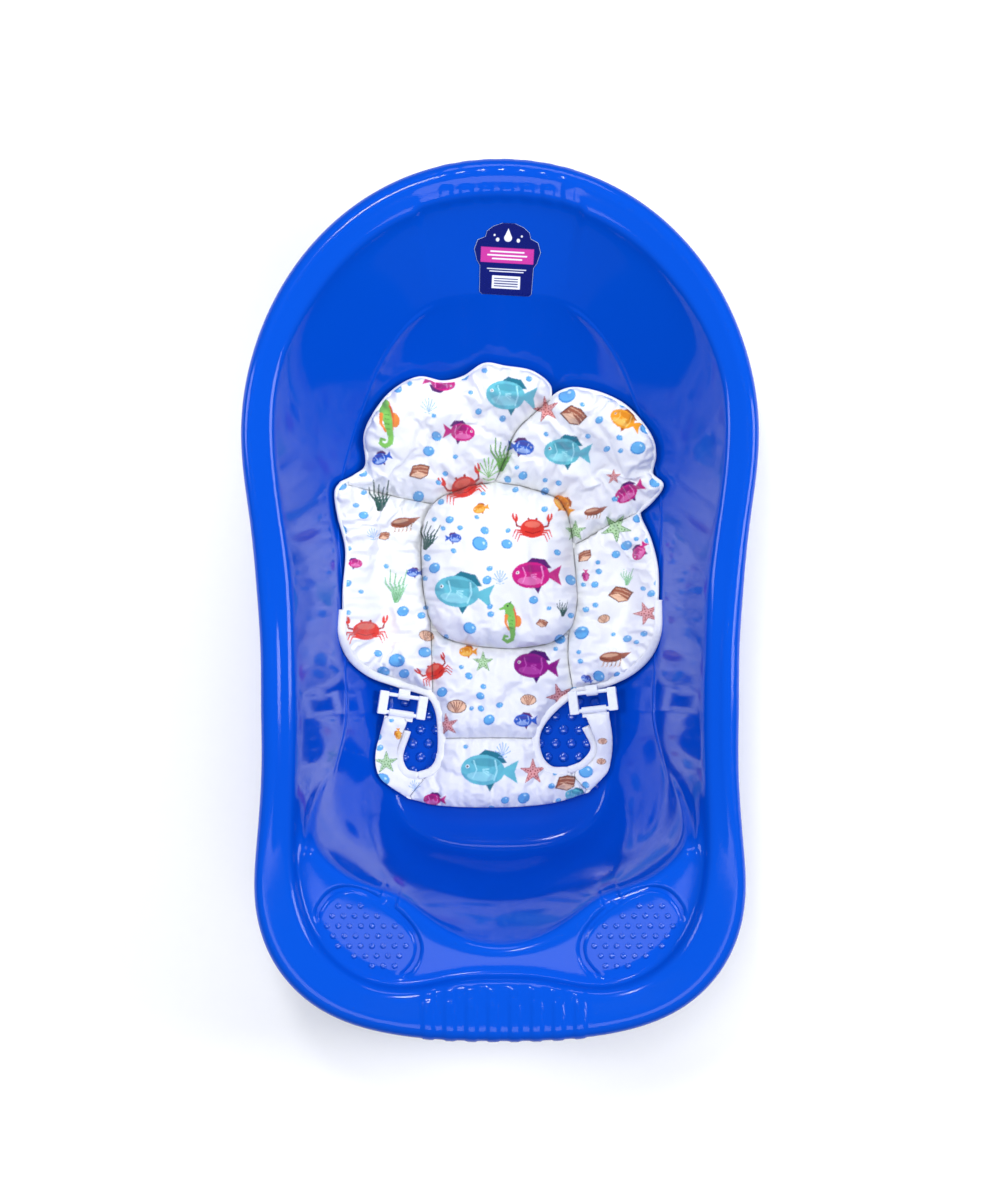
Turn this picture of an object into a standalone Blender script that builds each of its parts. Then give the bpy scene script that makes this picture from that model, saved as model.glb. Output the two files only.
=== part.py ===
"""Baby bathtub with a padded bath support.

Metres, +Z up.  +Y points to the head end, -Y to the foot end with the soap
dishes, and X runs across.  The origin is under the middle of the tub, on the
surface that it stands on.

The tub is one moulded shell.  It is lofted on rays from a point over the flat
floor: each ray carries the same profile, hem, rolled rim, lip, deck, upper
wall, crease, lower wall and floor, and a few polar curves say how far out
each of those lies.  The bath support lies in the basin and lifts out.
"""

import math

import bpy
import bmesh
import numpy as np
from mathutils import Vector
from mathutils.bvhtree import BVHTree

# ---------------------------------------------------------------- the shell
WALL = 0.003
RIM_HEIGHT = 0.250
HEM_HEIGHT = 0.200
DECK_HEIGHT = 0.2325
FLOOR_HEIGHT = WALL
CENTRE_Y = -0.080          # the rays start here, over the flat floor
SECTORS = 76

# Polar curves of the shell: degrees from the head end, and radius.
OUTLINE = ((0, 0.5100), (12, 0.4983), (25, 0.4577), (36, 0.4060), (46, 0.3512),
           (55, 0.3005), (68, 0.2567), (82, 0.2362), (97, 0.2350), (112, 0.2515),
           (124, 0.2868), (132, 0.3215), (140, 0.3485), (151, 0.3640),
           (163, 0.3590), (180, 0.3500))
LIP = ((0, 0.4700), (12, 0.4600), (25, 0.4177), (36, 0.3660), (46, 0.3030),
       (56, 0.2520), (68, 0.2190), (82, 0.2035), (97, 0.2022), (114, 0.2205),
       (124, 0.2445), (134, 0.2790), (142, 0.3050), (152, 0.3215),
       (162, 0.3160), (171, 0.2970), (180, 0.2905))
BASIN_EDGE = ((0, 0.4640), (12, 0.4540), (25, 0.4117), (36, 0.3600), (46, 0.2970),
              (56, 0.2460), (68, 0.2130), (82, 0.1975), (97, 0.1965), (114, 0.2140),
              (124, 0.2320), (134, 0.2430), (145, 0.2400), (155, 0.2330),
              (166, 0.2460), (180, 0.2574))
CREASE = ((0, 0.3860), (11, 0.3830), (26, 0.3160), (39, 0.2610), (52, 0.2120),
          (66, 0.1770), (80, 0.1640), (97, 0.1620), (112, 0.1770),
          (124, 0.2080), (134, 0.2240), (146, 0.2230), (158, 0.2190), (180, 0.2280))
FLOOR_EDGE = ((0, 0.1860), (18, 0.1880), (33, 0.1800), (48, 0.1560), (66, 0.1300),
              (90, 0.1180), (112, 0.1270), (130, 0.1540), (145, 0.1850),
              (158, 0.1930), (180, 0.1870))
# Height of the crease: degrees from the head end, and height.
CREASE_HEIGHT = ((0, 0.1680), (11, 0.1650), (26, 0.1320), (39, 0.1020), (52, 0.0900),
                 (75, 0.0860), (110, 0.0880), (126, 0.1200), (145, 0.1450),
                 (180, 0.1400))
# The deck exists between these two angles and the foot end.
DECK_START = 117.0
DECK_FULL = 133.0

# -------------------------------------------------------- the bath support
SUPPORT_CLEARANCE = 0.003   # room for the bumps moulded on the floor
SEWN_GAP = 0.0008           # each cushion stays this far inside its seam line
SEAM_SHARE = 0.38           # height of the edge seam, as a share of the thickness
RING_THICKNESS = 0.036
PILLOW_THICKNESS = 0.042
SEAT_THICKNESS = 0.020
FRONT_THICKNESS = 0.014
STRAP_THICKNESS = 0.008
BINDING_RADIUS = 0.0021

# The pillow's edge, clockwise from its top, seen from above.
PILLOW_EDGE = ((-0.006, 0.124), (0.030, 0.119), (0.062, 0.106), (0.074, 0.083),
               (0.078, 0.058), (0.081, 0.025), (0.082, -0.005), (0.074, -0.030),
               (0.050, -0.046), (0.015, -0.051), (-0.025, -0.049),
               (-0.058, -0.040), (-0.074, -0.022), (-0.081, 0.005),
               (-0.084, 0.040), (-0.082, 0.075), (-0.070, 0.102),
               (-0.040, 0.118))
# Places on that edge where a seam between two neighbours ends.
TOP_SEAM = 0
RIGHT_SEAM = 4
LOWER_RIGHT_SEAM = 7
LOWER_LEFT_SEAM = 12
LEFT_SEAM = 16

# Seam lines from the outer edge in to the pillow.
SEAM_TOP = ((0.052, 0.208), (0.018, 0.178), (0.006, 0.150))
SEAM_LEFT = ((-0.163, 0.120), (-0.115, 0.110))
SEAM_RIGHT = ((0.145, 0.092), (0.110, 0.075))
SEAM_LOWER_LEFT = ((-0.072, -0.098), (-0.073, -0.062))
SEAM_LOWER_RIGHT = ((0.078, -0.096), (0.073, -0.062))

# Free outer edges, each running clockwise.
EDGE_UPPER_LEFT = ((-0.150, 0.128), (-0.138, 0.140), (-0.138, 0.170), (-0.124, 0.197),
                   (-0.106, 0.216), (-0.083, 0.2275), (-0.059, 0.2245),
                   (-0.037, 0.2295), (-0.016, 0.2415), (0.005, 0.239),
                   (0.032, 0.2345), (0.050, 0.222))
EDGE_UPPER_RIGHT = ((0.064, 0.2155), (0.080, 0.2175), (0.107, 0.210), (0.131, 0.195),
                    (0.152, 0.169), (0.158, 0.149), (0.156, 0.130), (0.166, 0.118),
                    (0.158, 0.104))
EDGE_RIGHT = ((0.147, 0.084), (0.156, 0.062), (0.162, 0.033), (0.162, 0.000),
              (0.161, -0.030), (0.154, -0.053), (0.138, -0.072), (0.114, -0.086))
EDGE_LEFT = ((-0.107, -0.087), (-0.135, -0.076), (-0.153, -0.058), (-0.161, -0.034),
             (-0.161, 0.010), (-0.159, 0.052), (-0.166, 0.087), (-0.168, 0.110))
SEAT_LEFT = ((-0.0645, -0.118), (-0.0610, -0.1465))
SEAT_RIGHT = ((0.0370, -0.1465), (0.0510, -0.120))

# The front panel and the two leg straps.
STRAP_SEAM_LEFT = ((-0.102, -0.189), (-0.116, -0.200))
STRAP_SEAM_RIGHT = ((0.108, -0.192), (0.093, -0.177))
FRONT_TOP = ((-0.0610, -0.1480), (0.0370, -0.1480))
FRONT_RIGHT_HOLE = ((0.040, -0.168), (0.052, -0.183), (0.074, -0.184))
FRONT_LOWER = ((0.0945, -0.2055), (0.056, -0.217), (0.004, -0.2215),
               (-0.062, -0.220), (-0.098, -0.212))
FRONT_LEFT_HOLE = ((-0.080, -0.190), (-0.067, -0.183), (-0.0625, -0.168))
STRAP_LEFT = ((-0.1285, -0.187), (-0.132, -0.163), (-0.1215, -0.1285),
              (-0.0985, -0.1325), (-0.1095, -0.163))
STRAP_RIGHT = ((0.1030, -0.158), (0.0925, -0.1280), (0.1165, -0.1250),
               (0.1200, -0.152), (0.1165, -0.180))

# Centre lines of the bindings, with their height over the basin: along the
# lower edge, then round the leg opening and up the strap.
BINDING_LEFT = ((-0.1650, -0.010, 0.017), (-0.1655, -0.036, 0.017),
                (-0.1570, -0.061, 0.017), (-0.1380, -0.080, 0.017),
                (-0.1100, -0.0915, 0.017), (-0.0790, -0.102, 0.012),
                (-0.0690, -0.116, 0.011), (-0.0655, -0.140, 0.010),
                (-0.0665, -0.166, 0.009), (-0.0740, -0.1795, 0.0085),
                (-0.0880, -0.1850, 0.0080), (-0.0995, -0.1815, 0.0075),
                (-0.1045, -0.1665, 0.0100), (-0.0960, -0.1400, 0.0175))
BINDING_RIGHT = ((0.1660, 0.000, 0.017), (0.1655, -0.031, 0.017),
                 (0.1580, -0.056, 0.017), (0.1415, -0.076, 0.017),
                 (0.1160, -0.0905, 0.017), (0.0820, -0.1005, 0.012),
                 (0.0560, -0.121, 0.011), (0.0420, -0.143, 0.010),
                 (0.0440, -0.166, 0.009), (0.0550, -0.1785, 0.0085),
                 (0.0720, -0.1795, 0.0080), (0.0880, -0.1725, 0.0075),
                 (0.0980, -0.1575, 0.0110), (0.0885, -0.1360, 0.0175))

# ------------------------------------------------------------ strap clips
CLIP_WIDTH = 0.052          # over both side blocks
CLIP_BLOCK = (0.0100, 0.0250, 0.0070)
CLIP_BLOCK_ROUNDING = 0.0012
CLIP_BAR_RADIUS = 0.0021
CLIP_BAR_SPACING = 0.0190
CLIP_HEIGHT = 0.0260        # the bars' middle, over the ground
CLIP_ROLL = 10.0            # degrees, the outer end higher
CLIP_LEFT = (-0.1050, -0.1210, -9.0)     # front bar's middle and its turn
CLIP_RIGHT = (0.1000, -0.1165, 7.0)
LOOP_WIDTH = 0.0260         # the strap's loop, on the front bar
LOOP_TONGUE = 0.0030
TAB_WIDTH = 0.0120          # the pad's tab, on the rear bar
TAB_TONGUE = 0.0035
LOOP_GAP = 0.0004
LOOP_THICKNESS = 0.0014
LOOP_SEGMENTS = 14
# The straps leave the floor here and reach the clip's front bar here.
STRAP_RAMP_START = -0.186
STRAP_RAMP_END = -0.130

# ---------------------------------------------------------------- sticker
LABEL_CENTRE_X = 0.007
LABEL_FROM = 0.306          # lower and upper end, along Y
LABEL_TO = 0.370
LABEL_THICKNESS = 0.0006
LABEL_GAP = 0.0005
LABEL_TURN = 3.0            # degrees, clockwise from above
LABEL_COLUMNS = 6
# Half width of the sticker: share of its length from the lower end.
LABEL_SHAPE = ((0.00, 0.0235), (0.03, 0.0262), (0.40, 0.0268), (0.47, 0.0300),
               (0.62, 0.0330), (0.75, 0.0300), (0.80, 0.0225), (0.88, 0.0210),
               (0.95, 0.0150), (1.00, 0.0060))


# ------------------------------------------------------------------ tools
def clear_scene():
    for item in list(bpy.data.objects):
        bpy.data.objects.remove(item, do_unlink=True)


def new_collection(name):
    group = bpy.data.collections.new(name)
    bpy.context.scene.collection.children.link(group)
    return group


def material(name, colour, roughness, metallic=0.0):
    made = bpy.data.materials.new(name)
    made.use_nodes = True
    shader = made.node_tree.nodes["Principled BSDF"]
    shader.inputs["Base Color"].default_value = (*colour, 1.0)
    shader.inputs["Roughness"].default_value = roughness
    shader.inputs["Metallic"].default_value = metallic
    made.diffuse_color = (*colour, 1.0)
    return made


def mesh_object(name, group, builder, finish, parent=None):
    """Turn a bmesh into a named object with one material."""
    mesh = bpy.data.meshes.new(name)
    builder.to_mesh(mesh)
    builder.free()
    mesh.materials.append(finish)
    made = bpy.data.objects.new(name, mesh)
    group.objects.link(made)
    if parent is not None:
        made.parent = parent
        made.matrix_parent_inverse = parent.matrix_world.inverted()
    return made


def natural_curve(knots):
    """A smooth function through (angle, value) knots, level at both ends."""
    x = np.array([k[0] for k in knots], dtype=float)
    y = np.array([k[1] for k in knots], dtype=float)
    count = len(x)
    gap = np.diff(x)
    rise = np.diff(y) / gap
    system = np.zeros((count, count))
    target = np.zeros(count)
    system[0, 0] = 1.0
    system[-1, -1] = 1.0
    for i in range(1, count - 1):
        system[i, i - 1] = gap[i]
        system[i, i] = 2.0 * (gap[i - 1] + gap[i])
        system[i, i + 1] = gap[i - 1]
        target[i] = 3.0 * (gap[i] * rise[i - 1] + gap[i - 1] * rise[i])
    slope = np.linalg.solve(system, target)

    def value(angle):
        i = int(np.clip(np.searchsorted(x, angle) - 1, 0, count - 2))
        t = (angle - x[i]) / gap[i]
        a = 2 * t ** 3 - 3 * t ** 2 + 1
        b = t ** 3 - 2 * t ** 2 + t
        c = -2 * t ** 3 + 3 * t ** 2
        d = t ** 3 - t ** 2
        return a * y[i] + b * gap[i] * slope[i] + c * y[i + 1] + d * gap[i] * slope[i + 1]

    return value


def smooth_step(start, end, value):
    t = min(max((value - start) / (end - start), 0.0), 1.0)
    return t * t * (3.0 - 2.0 * t)


def mix(a, b, t):
    return a + (b - a) * t


# -------------------------------------------------------------- the shell
outline_at = natural_curve(OUTLINE)
lip_at = natural_curve(LIP)
basin_edge_at = natural_curve(BASIN_EDGE)
crease_at = natural_curve(CREASE)
floor_edge_at = natural_curve(FLOOR_EDGE)
crease_height_at = natural_curve(CREASE_HEIGHT)


def profile_stations(angle):
    """Control points (radius, height) of the shell's inner face on one ray."""
    outer = outline_at(angle)
    lip = lip_at(angle)
    edge = basin_edge_at(angle)
    crease = crease_at(angle)
    floor = floor_edge_at(angle)
    high = crease_height_at(angle)
    deck = smooth_step(DECK_START, DECK_FULL, angle)
    top = RIM_HEIGHT

    def on_wall(t):
        return mix(lip - 0.004, crease, t), mix(top - 0.014, high, t)

    def either(wall_t, radius, height):
        wall_radius, wall_height = on_wall(wall_t)
        return mix(wall_radius, radius, deck), mix(wall_height, height, deck)

    return [
        (outer - 0.0015, HEM_HEIGHT - 0.003),
        (outer - 0.0015, HEM_HEIGHT + 0.010),
        (outer - 0.0005, top - 0.020),
        (outer + 0.0005, top - 0.006),
        (outer - 0.0070, top + 0.0015),
        (outer - 0.0170, top + 0.0010),
        (mix(outer, lip, 0.60), top - 0.0010),
        (lip + 0.0060, top - 0.0030),
        (lip + 0.0005, top - 0.0050),
        (lip - 0.0030, top - 0.0110),
        either(0.06, lip - 0.0045, DECK_HEIGHT + 0.0010),
        either(0.25, lip - 0.0120, DECK_HEIGHT),
        either(0.50, mix(lip - 0.012, edge + 0.008, 0.5), DECK_HEIGHT),
        either(0.75, edge + 0.0070, DECK_HEIGHT),
        either(0.90, edge + 0.0005, DECK_HEIGHT - 0.0030),
        either(0.97, edge - 0.0040, DECK_HEIGHT - 0.0120),
        (crease - 0.0005, high - 0.0005),
        (mix(crease, floor, 0.14), mix(high, FLOOR_HEIGHT, 0.20)),
        (mix(crease, floor, 0.50), mix(high, FLOOR_HEIGHT, 0.62)),
        (mix(crease, floor, 0.85), mix(high, FLOOR_HEIGHT, 0.94)),
        (floor - 0.0060, FLOOR_HEIGHT),
        (floor - 0.0200, FLOOR_HEIGHT),
        (floor * 0.60, FLOOR_HEIGHT),
        (floor * 0.30, FLOOR_HEIGHT),
    ]


def even_angles(count):
    """Ray angles over the full turn, spaced evenly along the outline."""
    fine = np.linspace(0.0, 180.0, 721)
    points = [(outline_at(a) * math.sin(math.radians(a)),
               outline_at(a) * math.cos(math.radians(a))) for a in fine]
    steps = np.hypot(*np.diff(np.array(points), axis=0).T)
    along = np.concatenate(([0.0], np.cumsum(steps)))
    half = np.interp(np.linspace(0.0, along[-1], count // 2 + 1), along, fine)
    return [(a, 1) for a in half] + [(a, -1) for a in half[-2:0:-1]]


def ray_point(angle, side, radius, height):
    turn = math.radians(angle)
    return Vector((side * radius * math.sin(turn),
                   CENTRE_Y + radius * math.cos(turn), height))


def smooth_profile(stations):
    """Points of the uniform cubic B-spline over the stations, at its knots."""
    padded = [stations[0]] + list(stations) + [stations[-1]]
    line = []
    for before, here, after in zip(padded, padded[1:], padded[2:]):
        line.append(((before[0] + 4 * here[0] + after[0]) / 6,
                     (before[1] + 4 * here[1] + after[1]) / 6))
    return line


def shell_surface():
    """The inner face of the tub, as an open surface facing up."""
    builder = bmesh.new()
    rings = []
    for angle, side in even_angles(SECTORS):
        line = smooth_profile(profile_stations(angle))
        rings.append([builder.verts.new(ray_point(angle, side, *p)) for p in line])
    count = len(rings)
    for i in range(count):
        here = rings[i]
        after = rings[(i + 1) % count]
        for k in range(len(here) - 1):
            builder.faces.new((here[k], here[k + 1], after[k + 1], after[k]))
    centre = builder.verts.new((0.0, CENTRE_Y, FLOOR_HEIGHT))
    for i in range(count):
        builder.faces.new((rings[i][-1], centre, rings[(i + 1) % count][-1]))
    bmesh.ops.recalc_face_normals(builder, faces=builder.faces)
    middle = min(builder.faces, key=lambda f: (f.calc_center_median() - centre.co).length)
    if middle.normal.z < 0:
        bmesh.ops.reverse_faces(builder, faces=builder.faces)
    return builder


def make_tub(group, finish):
    """The shell: the inner face, thickened outwards and downwards."""
    builder = shell_surface()
    surface = BVHTree.FromBMesh(builder)
    mesh = bpy.data.meshes.new("tub_shell")
    builder.to_mesh(mesh)
    builder.free()
    mesh.materials.append(finish)
    tub = bpy.data.objects.new("tub_shell", mesh)
    group.objects.link(tub)
    solid = tub.modifiers.new("wall", "SOLIDIFY")
    solid.thickness = WALL
    solid.offset = -1.0
    solid.use_even_offset = True
    mesh.shade_smooth()
    return surface


def ground(surface, x, y):
    """Height of the tub's inner face under a place."""
    hit = surface.ray_cast(Vector((x, y, 1.0)), Vector((0.0, 0.0, -1.0)))
    return hit[0].z


# ------------------------------------------------------- the soft pieces
def inset(edge, distance):
    """Move a closed clockwise edge inwards by a distance."""
    moved = []
    count = len(edge)
    for i in range(count):
        before = Vector(edge[i - 1])
        here = Vector(edge[i])
        after = Vector(edge[(i + 1) % count])
        first = (here - before).normalized()
        second = (after - here).normalized()
        side_a = Vector((first.y, -first.x))
        side_b = Vector((second.y, -second.x))
        mitre = side_a + side_b
        scale = distance / max(0.35, 0.5 * mitre.length_squared)
        moved.append(here + mitre * scale)
    return moved


def lying_on(surface):
    """Height of a soft piece's underside where it lies in the basin."""
    return lambda x, y: ground(surface, x, y) + SUPPORT_CLEARANCE


def rising_to_clip(surface):
    """Height of a leg strap's underside: off the floor and up to its clip."""
    lying = lying_on(surface)
    top = CLIP_HEIGHT - SEAM_SHARE * STRAP_THICKNESS

    def height(x, y):
        t = smooth_step(STRAP_RAMP_START, STRAP_RAMP_END, y)
        return max(lying(x, y), mix(lying(0.0, y), top, t))

    return height


def add_cushion(name, group, finish, parent, under, edge, thickness, centre,
                rings=(0.45, 0.75, 0.93, 1.0)):
    """A closed pad over an edge: flat below, crowned above, thin at its seam."""
    builder = bmesh.new()
    line = inset(edge, SEWN_GAP)
    middle = Vector(centre)

    def place(share, point, upper):
        spot = middle.lerp(point, share)
        base = under(spot.x, spot.y)
        seam_height = SEAM_SHARE * thickness
        if upper:
            crown = (1.0 - share ** 2.4) ** 0.6 if share < 1.0 else 0.0
            height = seam_height + (thickness - seam_height) * crown
        else:
            height = seam_height * share ** 5
        return Vector((spot.x, spot.y, base + height))

    def cap(upper):
        made = [[builder.verts.new(place(0.0, middle, upper))]]
        for share in rings[:-1]:
            made.append([builder.verts.new(place(share, p, upper)) for p in line])
        return made

    seam_ring = [builder.verts.new(place(1.0, p, True)) for p in line]
    count = len(line)
    for upper in (True, False):
        made = cap(upper) + [seam_ring]
        for i in range(count):
            j = (i + 1) % count
            builder.faces.new((made[0][0], made[1][i], made[1][j]))
            for k in range(1, len(made) - 1):
                builder.faces.new((made[k][i], made[k + 1][i], made[k + 1][j], made[k][j]))
    bmesh.ops.recalc_face_normals(builder, faces=builder.faces)
    made = mesh_object(name, group, builder, finish, parent)
    made.data.shade_smooth()
    return made


def add_tube(name, group, finish, parent, route, radius, resolution=2):
    """A tube of fabric along a smooth route."""
    curve = bpy.data.curves.new(name, "CURVE")
    curve.dimensions = "3D"
    curve.bevel_depth = radius
    curve.bevel_resolution = resolution
    curve.use_fill_caps = True
    spline = curve.splines.new("POLY")
    spline.points.add(len(route) - 1)
    for point, place in zip(spline.points, route):
        point.co = (*place, 1.0)
    curve.materials.append(finish)
    made = bpy.data.objects.new(name, curve)
    group.objects.link(made)
    made.parent = parent
    made.matrix_parent_inverse = parent.matrix_world.inverted()
    return made


def through(points, steps):
    """A Catmull-Rom line through the points."""
    ends = [points[0] * 2 - points[1]] + list(points) + [points[-1] * 2 - points[-2]]
    line = []
    for a, b, c, d in zip(ends, ends[1:], ends[2:], ends[3:]):
        for k in range(steps):
            t = k / steps
            line.append(0.5 * ((2 * b) + (c - a) * t + (2 * a - 5 * b + 4 * c - d) * t ** 2
                               + (3 * b - a - 3 * c + d) * t ** 3))
    line.append(points[-1])
    return line


def make_binding(name, group, finish, parent, surface, plan):
    """The bias binding along one lower edge and round one leg opening."""
    spots = [Vector((x, y, ground(surface, x, y) + rise)) for x, y, rise in plan]
    add_tube(name, group, finish, parent, through(spots, 3), BINDING_RADIUS)


def make_cushions(group, finish, parent, surface):
    pillow = PILLOW_EDGE
    upper_left = (pillow[LEFT_SEAM:] + pillow[:TOP_SEAM + 1] + SEAM_TOP[::-1]
                  + EDGE_UPPER_LEFT[::-1] + SEAM_LEFT)
    upper_right = (SEAM_TOP + pillow[TOP_SEAM:RIGHT_SEAM + 1] + SEAM_RIGHT[::-1]
                   + EDGE_UPPER_RIGHT[::-1])
    right = (SEAM_RIGHT + pillow[RIGHT_SEAM:LOWER_RIGHT_SEAM + 1]
             + SEAM_LOWER_RIGHT[::-1] + EDGE_RIGHT[::-1])
    left = (SEAM_LOWER_LEFT + pillow[LOWER_LEFT_SEAM:LEFT_SEAM + 1]
            + SEAM_LEFT[::-1] + EDGE_LEFT[::-1])
    seat = (pillow[LOWER_RIGHT_SEAM:LOWER_LEFT_SEAM + 1] + SEAM_LOWER_LEFT[::-1]
            + SEAT_LEFT + SEAT_RIGHT + SEAM_LOWER_RIGHT)
    front = (FRONT_TOP + FRONT_RIGHT_HOLE + STRAP_SEAM_RIGHT[::-1] + FRONT_LOWER
             + STRAP_SEAM_LEFT[::-1] + FRONT_LEFT_HOLE)
    strap_left = STRAP_SEAM_LEFT + STRAP_LEFT
    strap_right = STRAP_SEAM_RIGHT + STRAP_RIGHT
    plan = (
        ("head_pillow", pillow, PILLOW_THICKNESS, (0.000, 0.035)),
        ("ring_cushion_upper_left", upper_left, RING_THICKNESS, (-0.055, 0.170)),
        ("ring_cushion_upper_right", upper_right, RING_THICKNESS, (0.088, 0.145)),
        ("ring_cushion_right", right, RING_THICKNESS, (0.118, -0.010)),
        ("ring_cushion_left", left, RING_THICKNESS, (-0.122, 0.000)),
        ("seat_panel", seat, SEAT_THICKNESS, (-0.005, -0.095)),
        ("front_panel", front, FRONT_THICKNESS, (-0.006, -0.192)),
        ("leg_strap_left", strap_left, STRAP_THICKNESS, (-0.1190, -0.166)),
        ("leg_strap_right", strap_right, STRAP_THICKNESS, (0.1110, -0.160)),
    )
    for name, edge, thickness, centre in plan:
        area = sum(edge[i - 1][0] * edge[i][1] - edge[i][0] * edge[i - 1][1]
                   for i in range(len(edge)))
        clockwise = edge if area < 0 else edge[::-1]
        under = rising_to_clip(surface) if "strap" in name else lying_on(surface)
        add_cushion(name, group, finish, parent, under, clockwise, thickness, centre)


# ------------------------------------------------------- clips and loops
def new_box(name, group, size, place, rounding):
    builder = bmesh.new()
    bmesh.ops.create_cube(builder, size=1.0)
    bmesh.ops.scale(builder, vec=size, verts=builder.verts)
    bmesh.ops.translate(builder, vec=place, verts=builder.verts)
    bmesh.ops.bevel(builder, geom=builder.edges[:], offset=rounding, segments=2,
                    affect="EDGES", profile=0.5)
    mesh = bpy.data.meshes.new(name)
    builder.to_mesh(mesh)
    builder.free()
    made = bpy.data.objects.new(name, mesh)
    group.objects.link(made)
    return made


def new_bar(name, group, radius, length, place):
    """A round bar along X."""
    builder = bmesh.new()
    bmesh.ops.create_cone(builder, cap_ends=True, segments=16, radius1=radius,
                          radius2=radius, depth=length)
    for corner in builder.verts:
        corner.co = Vector((corner.co.z, corner.co.x, corner.co.y)) + Vector(place)
    bmesh.ops.recalc_face_normals(builder, faces=builder.faces)
    mesh = bpy.data.meshes.new(name)
    builder.to_mesh(mesh)
    builder.free()
    made = bpy.data.objects.new(name, mesh)
    group.objects.link(made)
    return made


def hide_cutter(cutter):
    cutter.hide_render = True
    cutter.display_type = "WIRE"


def make_clip(name, group, cutters, finish, axis):
    """Two side blocks and two bars in one moulding; the rear bar is the pivot."""
    reach = 0.5 * (CLIP_WIDTH - CLIP_BLOCK[0])
    middle = -0.5 * CLIP_BAR_SPACING
    clip = new_box(name, group, CLIP_BLOCK, (-reach, middle, 0.0), CLIP_BLOCK_ROUNDING)
    clip.data.materials.append(finish)
    bar_length = 2.0 * reach + 0.5 * CLIP_BLOCK[0]
    joined = (
        new_bar(name + "_front_bar_cutter", cutters, CLIP_BAR_RADIUS, bar_length,
                (0.0, -CLIP_BAR_SPACING, 0.0)),
        new_bar(name + "_rear_bar_cutter", cutters, CLIP_BAR_RADIUS, bar_length,
                (0.0, 0.0, 0.0)),
        new_box(name + "_block_cutter", cutters, CLIP_BLOCK, (reach, middle, 0.0),
                CLIP_BLOCK_ROUNDING),
    )
    for cutter in joined:
        hide_cutter(cutter)
        cutter.parent = axis
        union = clip.modifiers.new(cutter.name, "BOOLEAN")
        union.operation = "UNION"
        union.object = cutter
    clip.parent = axis
    return clip


def loop_outline(tongue):
    """Points round a folded strap end: most of a circle and a short tongue."""
    outer = CLIP_BAR_RADIUS + LOOP_GAP + LOOP_THICKNESS
    start = math.asin(LOOP_THICKNESS / outer)
    line = []
    for k in range(LOOP_SEGMENTS + 1):
        turn = start + (2.0 * math.pi - 2.0 * start) * k / LOOP_SEGMENTS
        line.append((outer * math.cos(turn), outer * math.sin(turn)))
    line.append((outer + tongue, -LOOP_THICKNESS))
    line.append((outer + tongue, LOOP_THICKNESS))
    return line


def make_loop(name, group, finish, axis, offset, width, tongue, towards):
    """A sewn fabric loop round a clip bar; its tongue points along +Y or -Y."""
    inner = CLIP_BAR_RADIUS + LOOP_GAP
    turns = [2.0 * math.pi * k / LOOP_SEGMENTS for k in range(LOOP_SEGMENTS)]
    hole = [(inner * math.cos(turn), inner * math.sin(turn)) for turn in turns]
    curve = bpy.data.curves.new(name, "CURVE")
    curve.dimensions = "2D"
    curve.fill_mode = "BOTH"
    curve.extrude = 0.5 * width
    for line in (loop_outline(tongue), hole):
        spline = curve.splines.new("POLY")
        spline.points.add(len(line) - 1)
        for point, place in zip(spline.points, line):
            point.co = (towards * place[0], place[1], 0.0, 1.0)
        spline.use_cyclic_u = True
    curve.materials.append(finish)
    made = bpy.data.objects.new(name, curve)
    group.objects.link(made)
    made.parent = axis
    made.location = (0.0, offset, 0.0)
    made.rotation_euler = (math.radians(90.0), 0.0, math.radians(90.0))
    return made


def clip_axis(name, group, place, roll):
    """An empty on the rear bar, its X along the bar."""
    x, y, turn = place
    axis = bpy.data.objects.new(name, None)
    group.objects.link(axis)
    tilt = math.radians(turn)
    axis.location = (x - CLIP_BAR_SPACING * math.sin(tilt),
                     y + CLIP_BAR_SPACING * math.cos(tilt), CLIP_HEIGHT)
    axis.rotation_euler = (0.0, math.radians(roll), tilt)
    return axis


def make_clips(group, cutters, plastic, fabric):
    for side, place, roll in (("left", CLIP_LEFT, CLIP_ROLL),
                              ("right", CLIP_RIGHT, -CLIP_ROLL)):
        axis = clip_axis("clip_" + side + "_axis", group, place, roll)
        make_clip("strap_clip_" + side, group, cutters, plastic, axis)
        make_loop("strap_loop_" + side, group, fabric, axis, -CLIP_BAR_SPACING,
                  LOOP_WIDTH, LOOP_TONGUE, -1.0)
        make_loop("clip_tab_" + side, group, fabric, axis, 0.0,
                  TAB_WIDTH, TAB_TONGUE, 1.0)


# ---------------------------------------------------------------- sticker
def make_label(group, finish, surface):
    """A sticker on the head wall, a strip that follows the wall."""
    builder = bmesh.new()
    turn = math.radians(-LABEL_TURN)
    middle_y = 0.5 * (LABEL_FROM + LABEL_TO)
    rows = []
    for share, half in LABEL_SHAPE:
        row = []
        for k in range(LABEL_COLUMNS + 1):
            across = half * (2.0 * k / LABEL_COLUMNS - 1.0)
            along = mix(LABEL_FROM, LABEL_TO, share) - middle_y
            x = LABEL_CENTRE_X + across * math.cos(turn) - along * math.sin(turn)
            y = middle_y + across * math.sin(turn) + along * math.cos(turn)
            z = ground(surface, x, y) + LABEL_GAP
            row.append(builder.verts.new((x, y, z)))
        rows.append(row)
    for lower, upper in zip(rows, rows[1:]):
        for k in range(LABEL_COLUMNS):
            builder.faces.new((lower[k], lower[k + 1], upper[k + 1], upper[k]))
    label = mesh_object("label_sticker", group, builder, finish)
    solid = label.modifiers.new("thickness", "SOLIDIFY")
    solid.thickness = LABEL_THICKNESS
    solid.offset = 1.0


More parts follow.
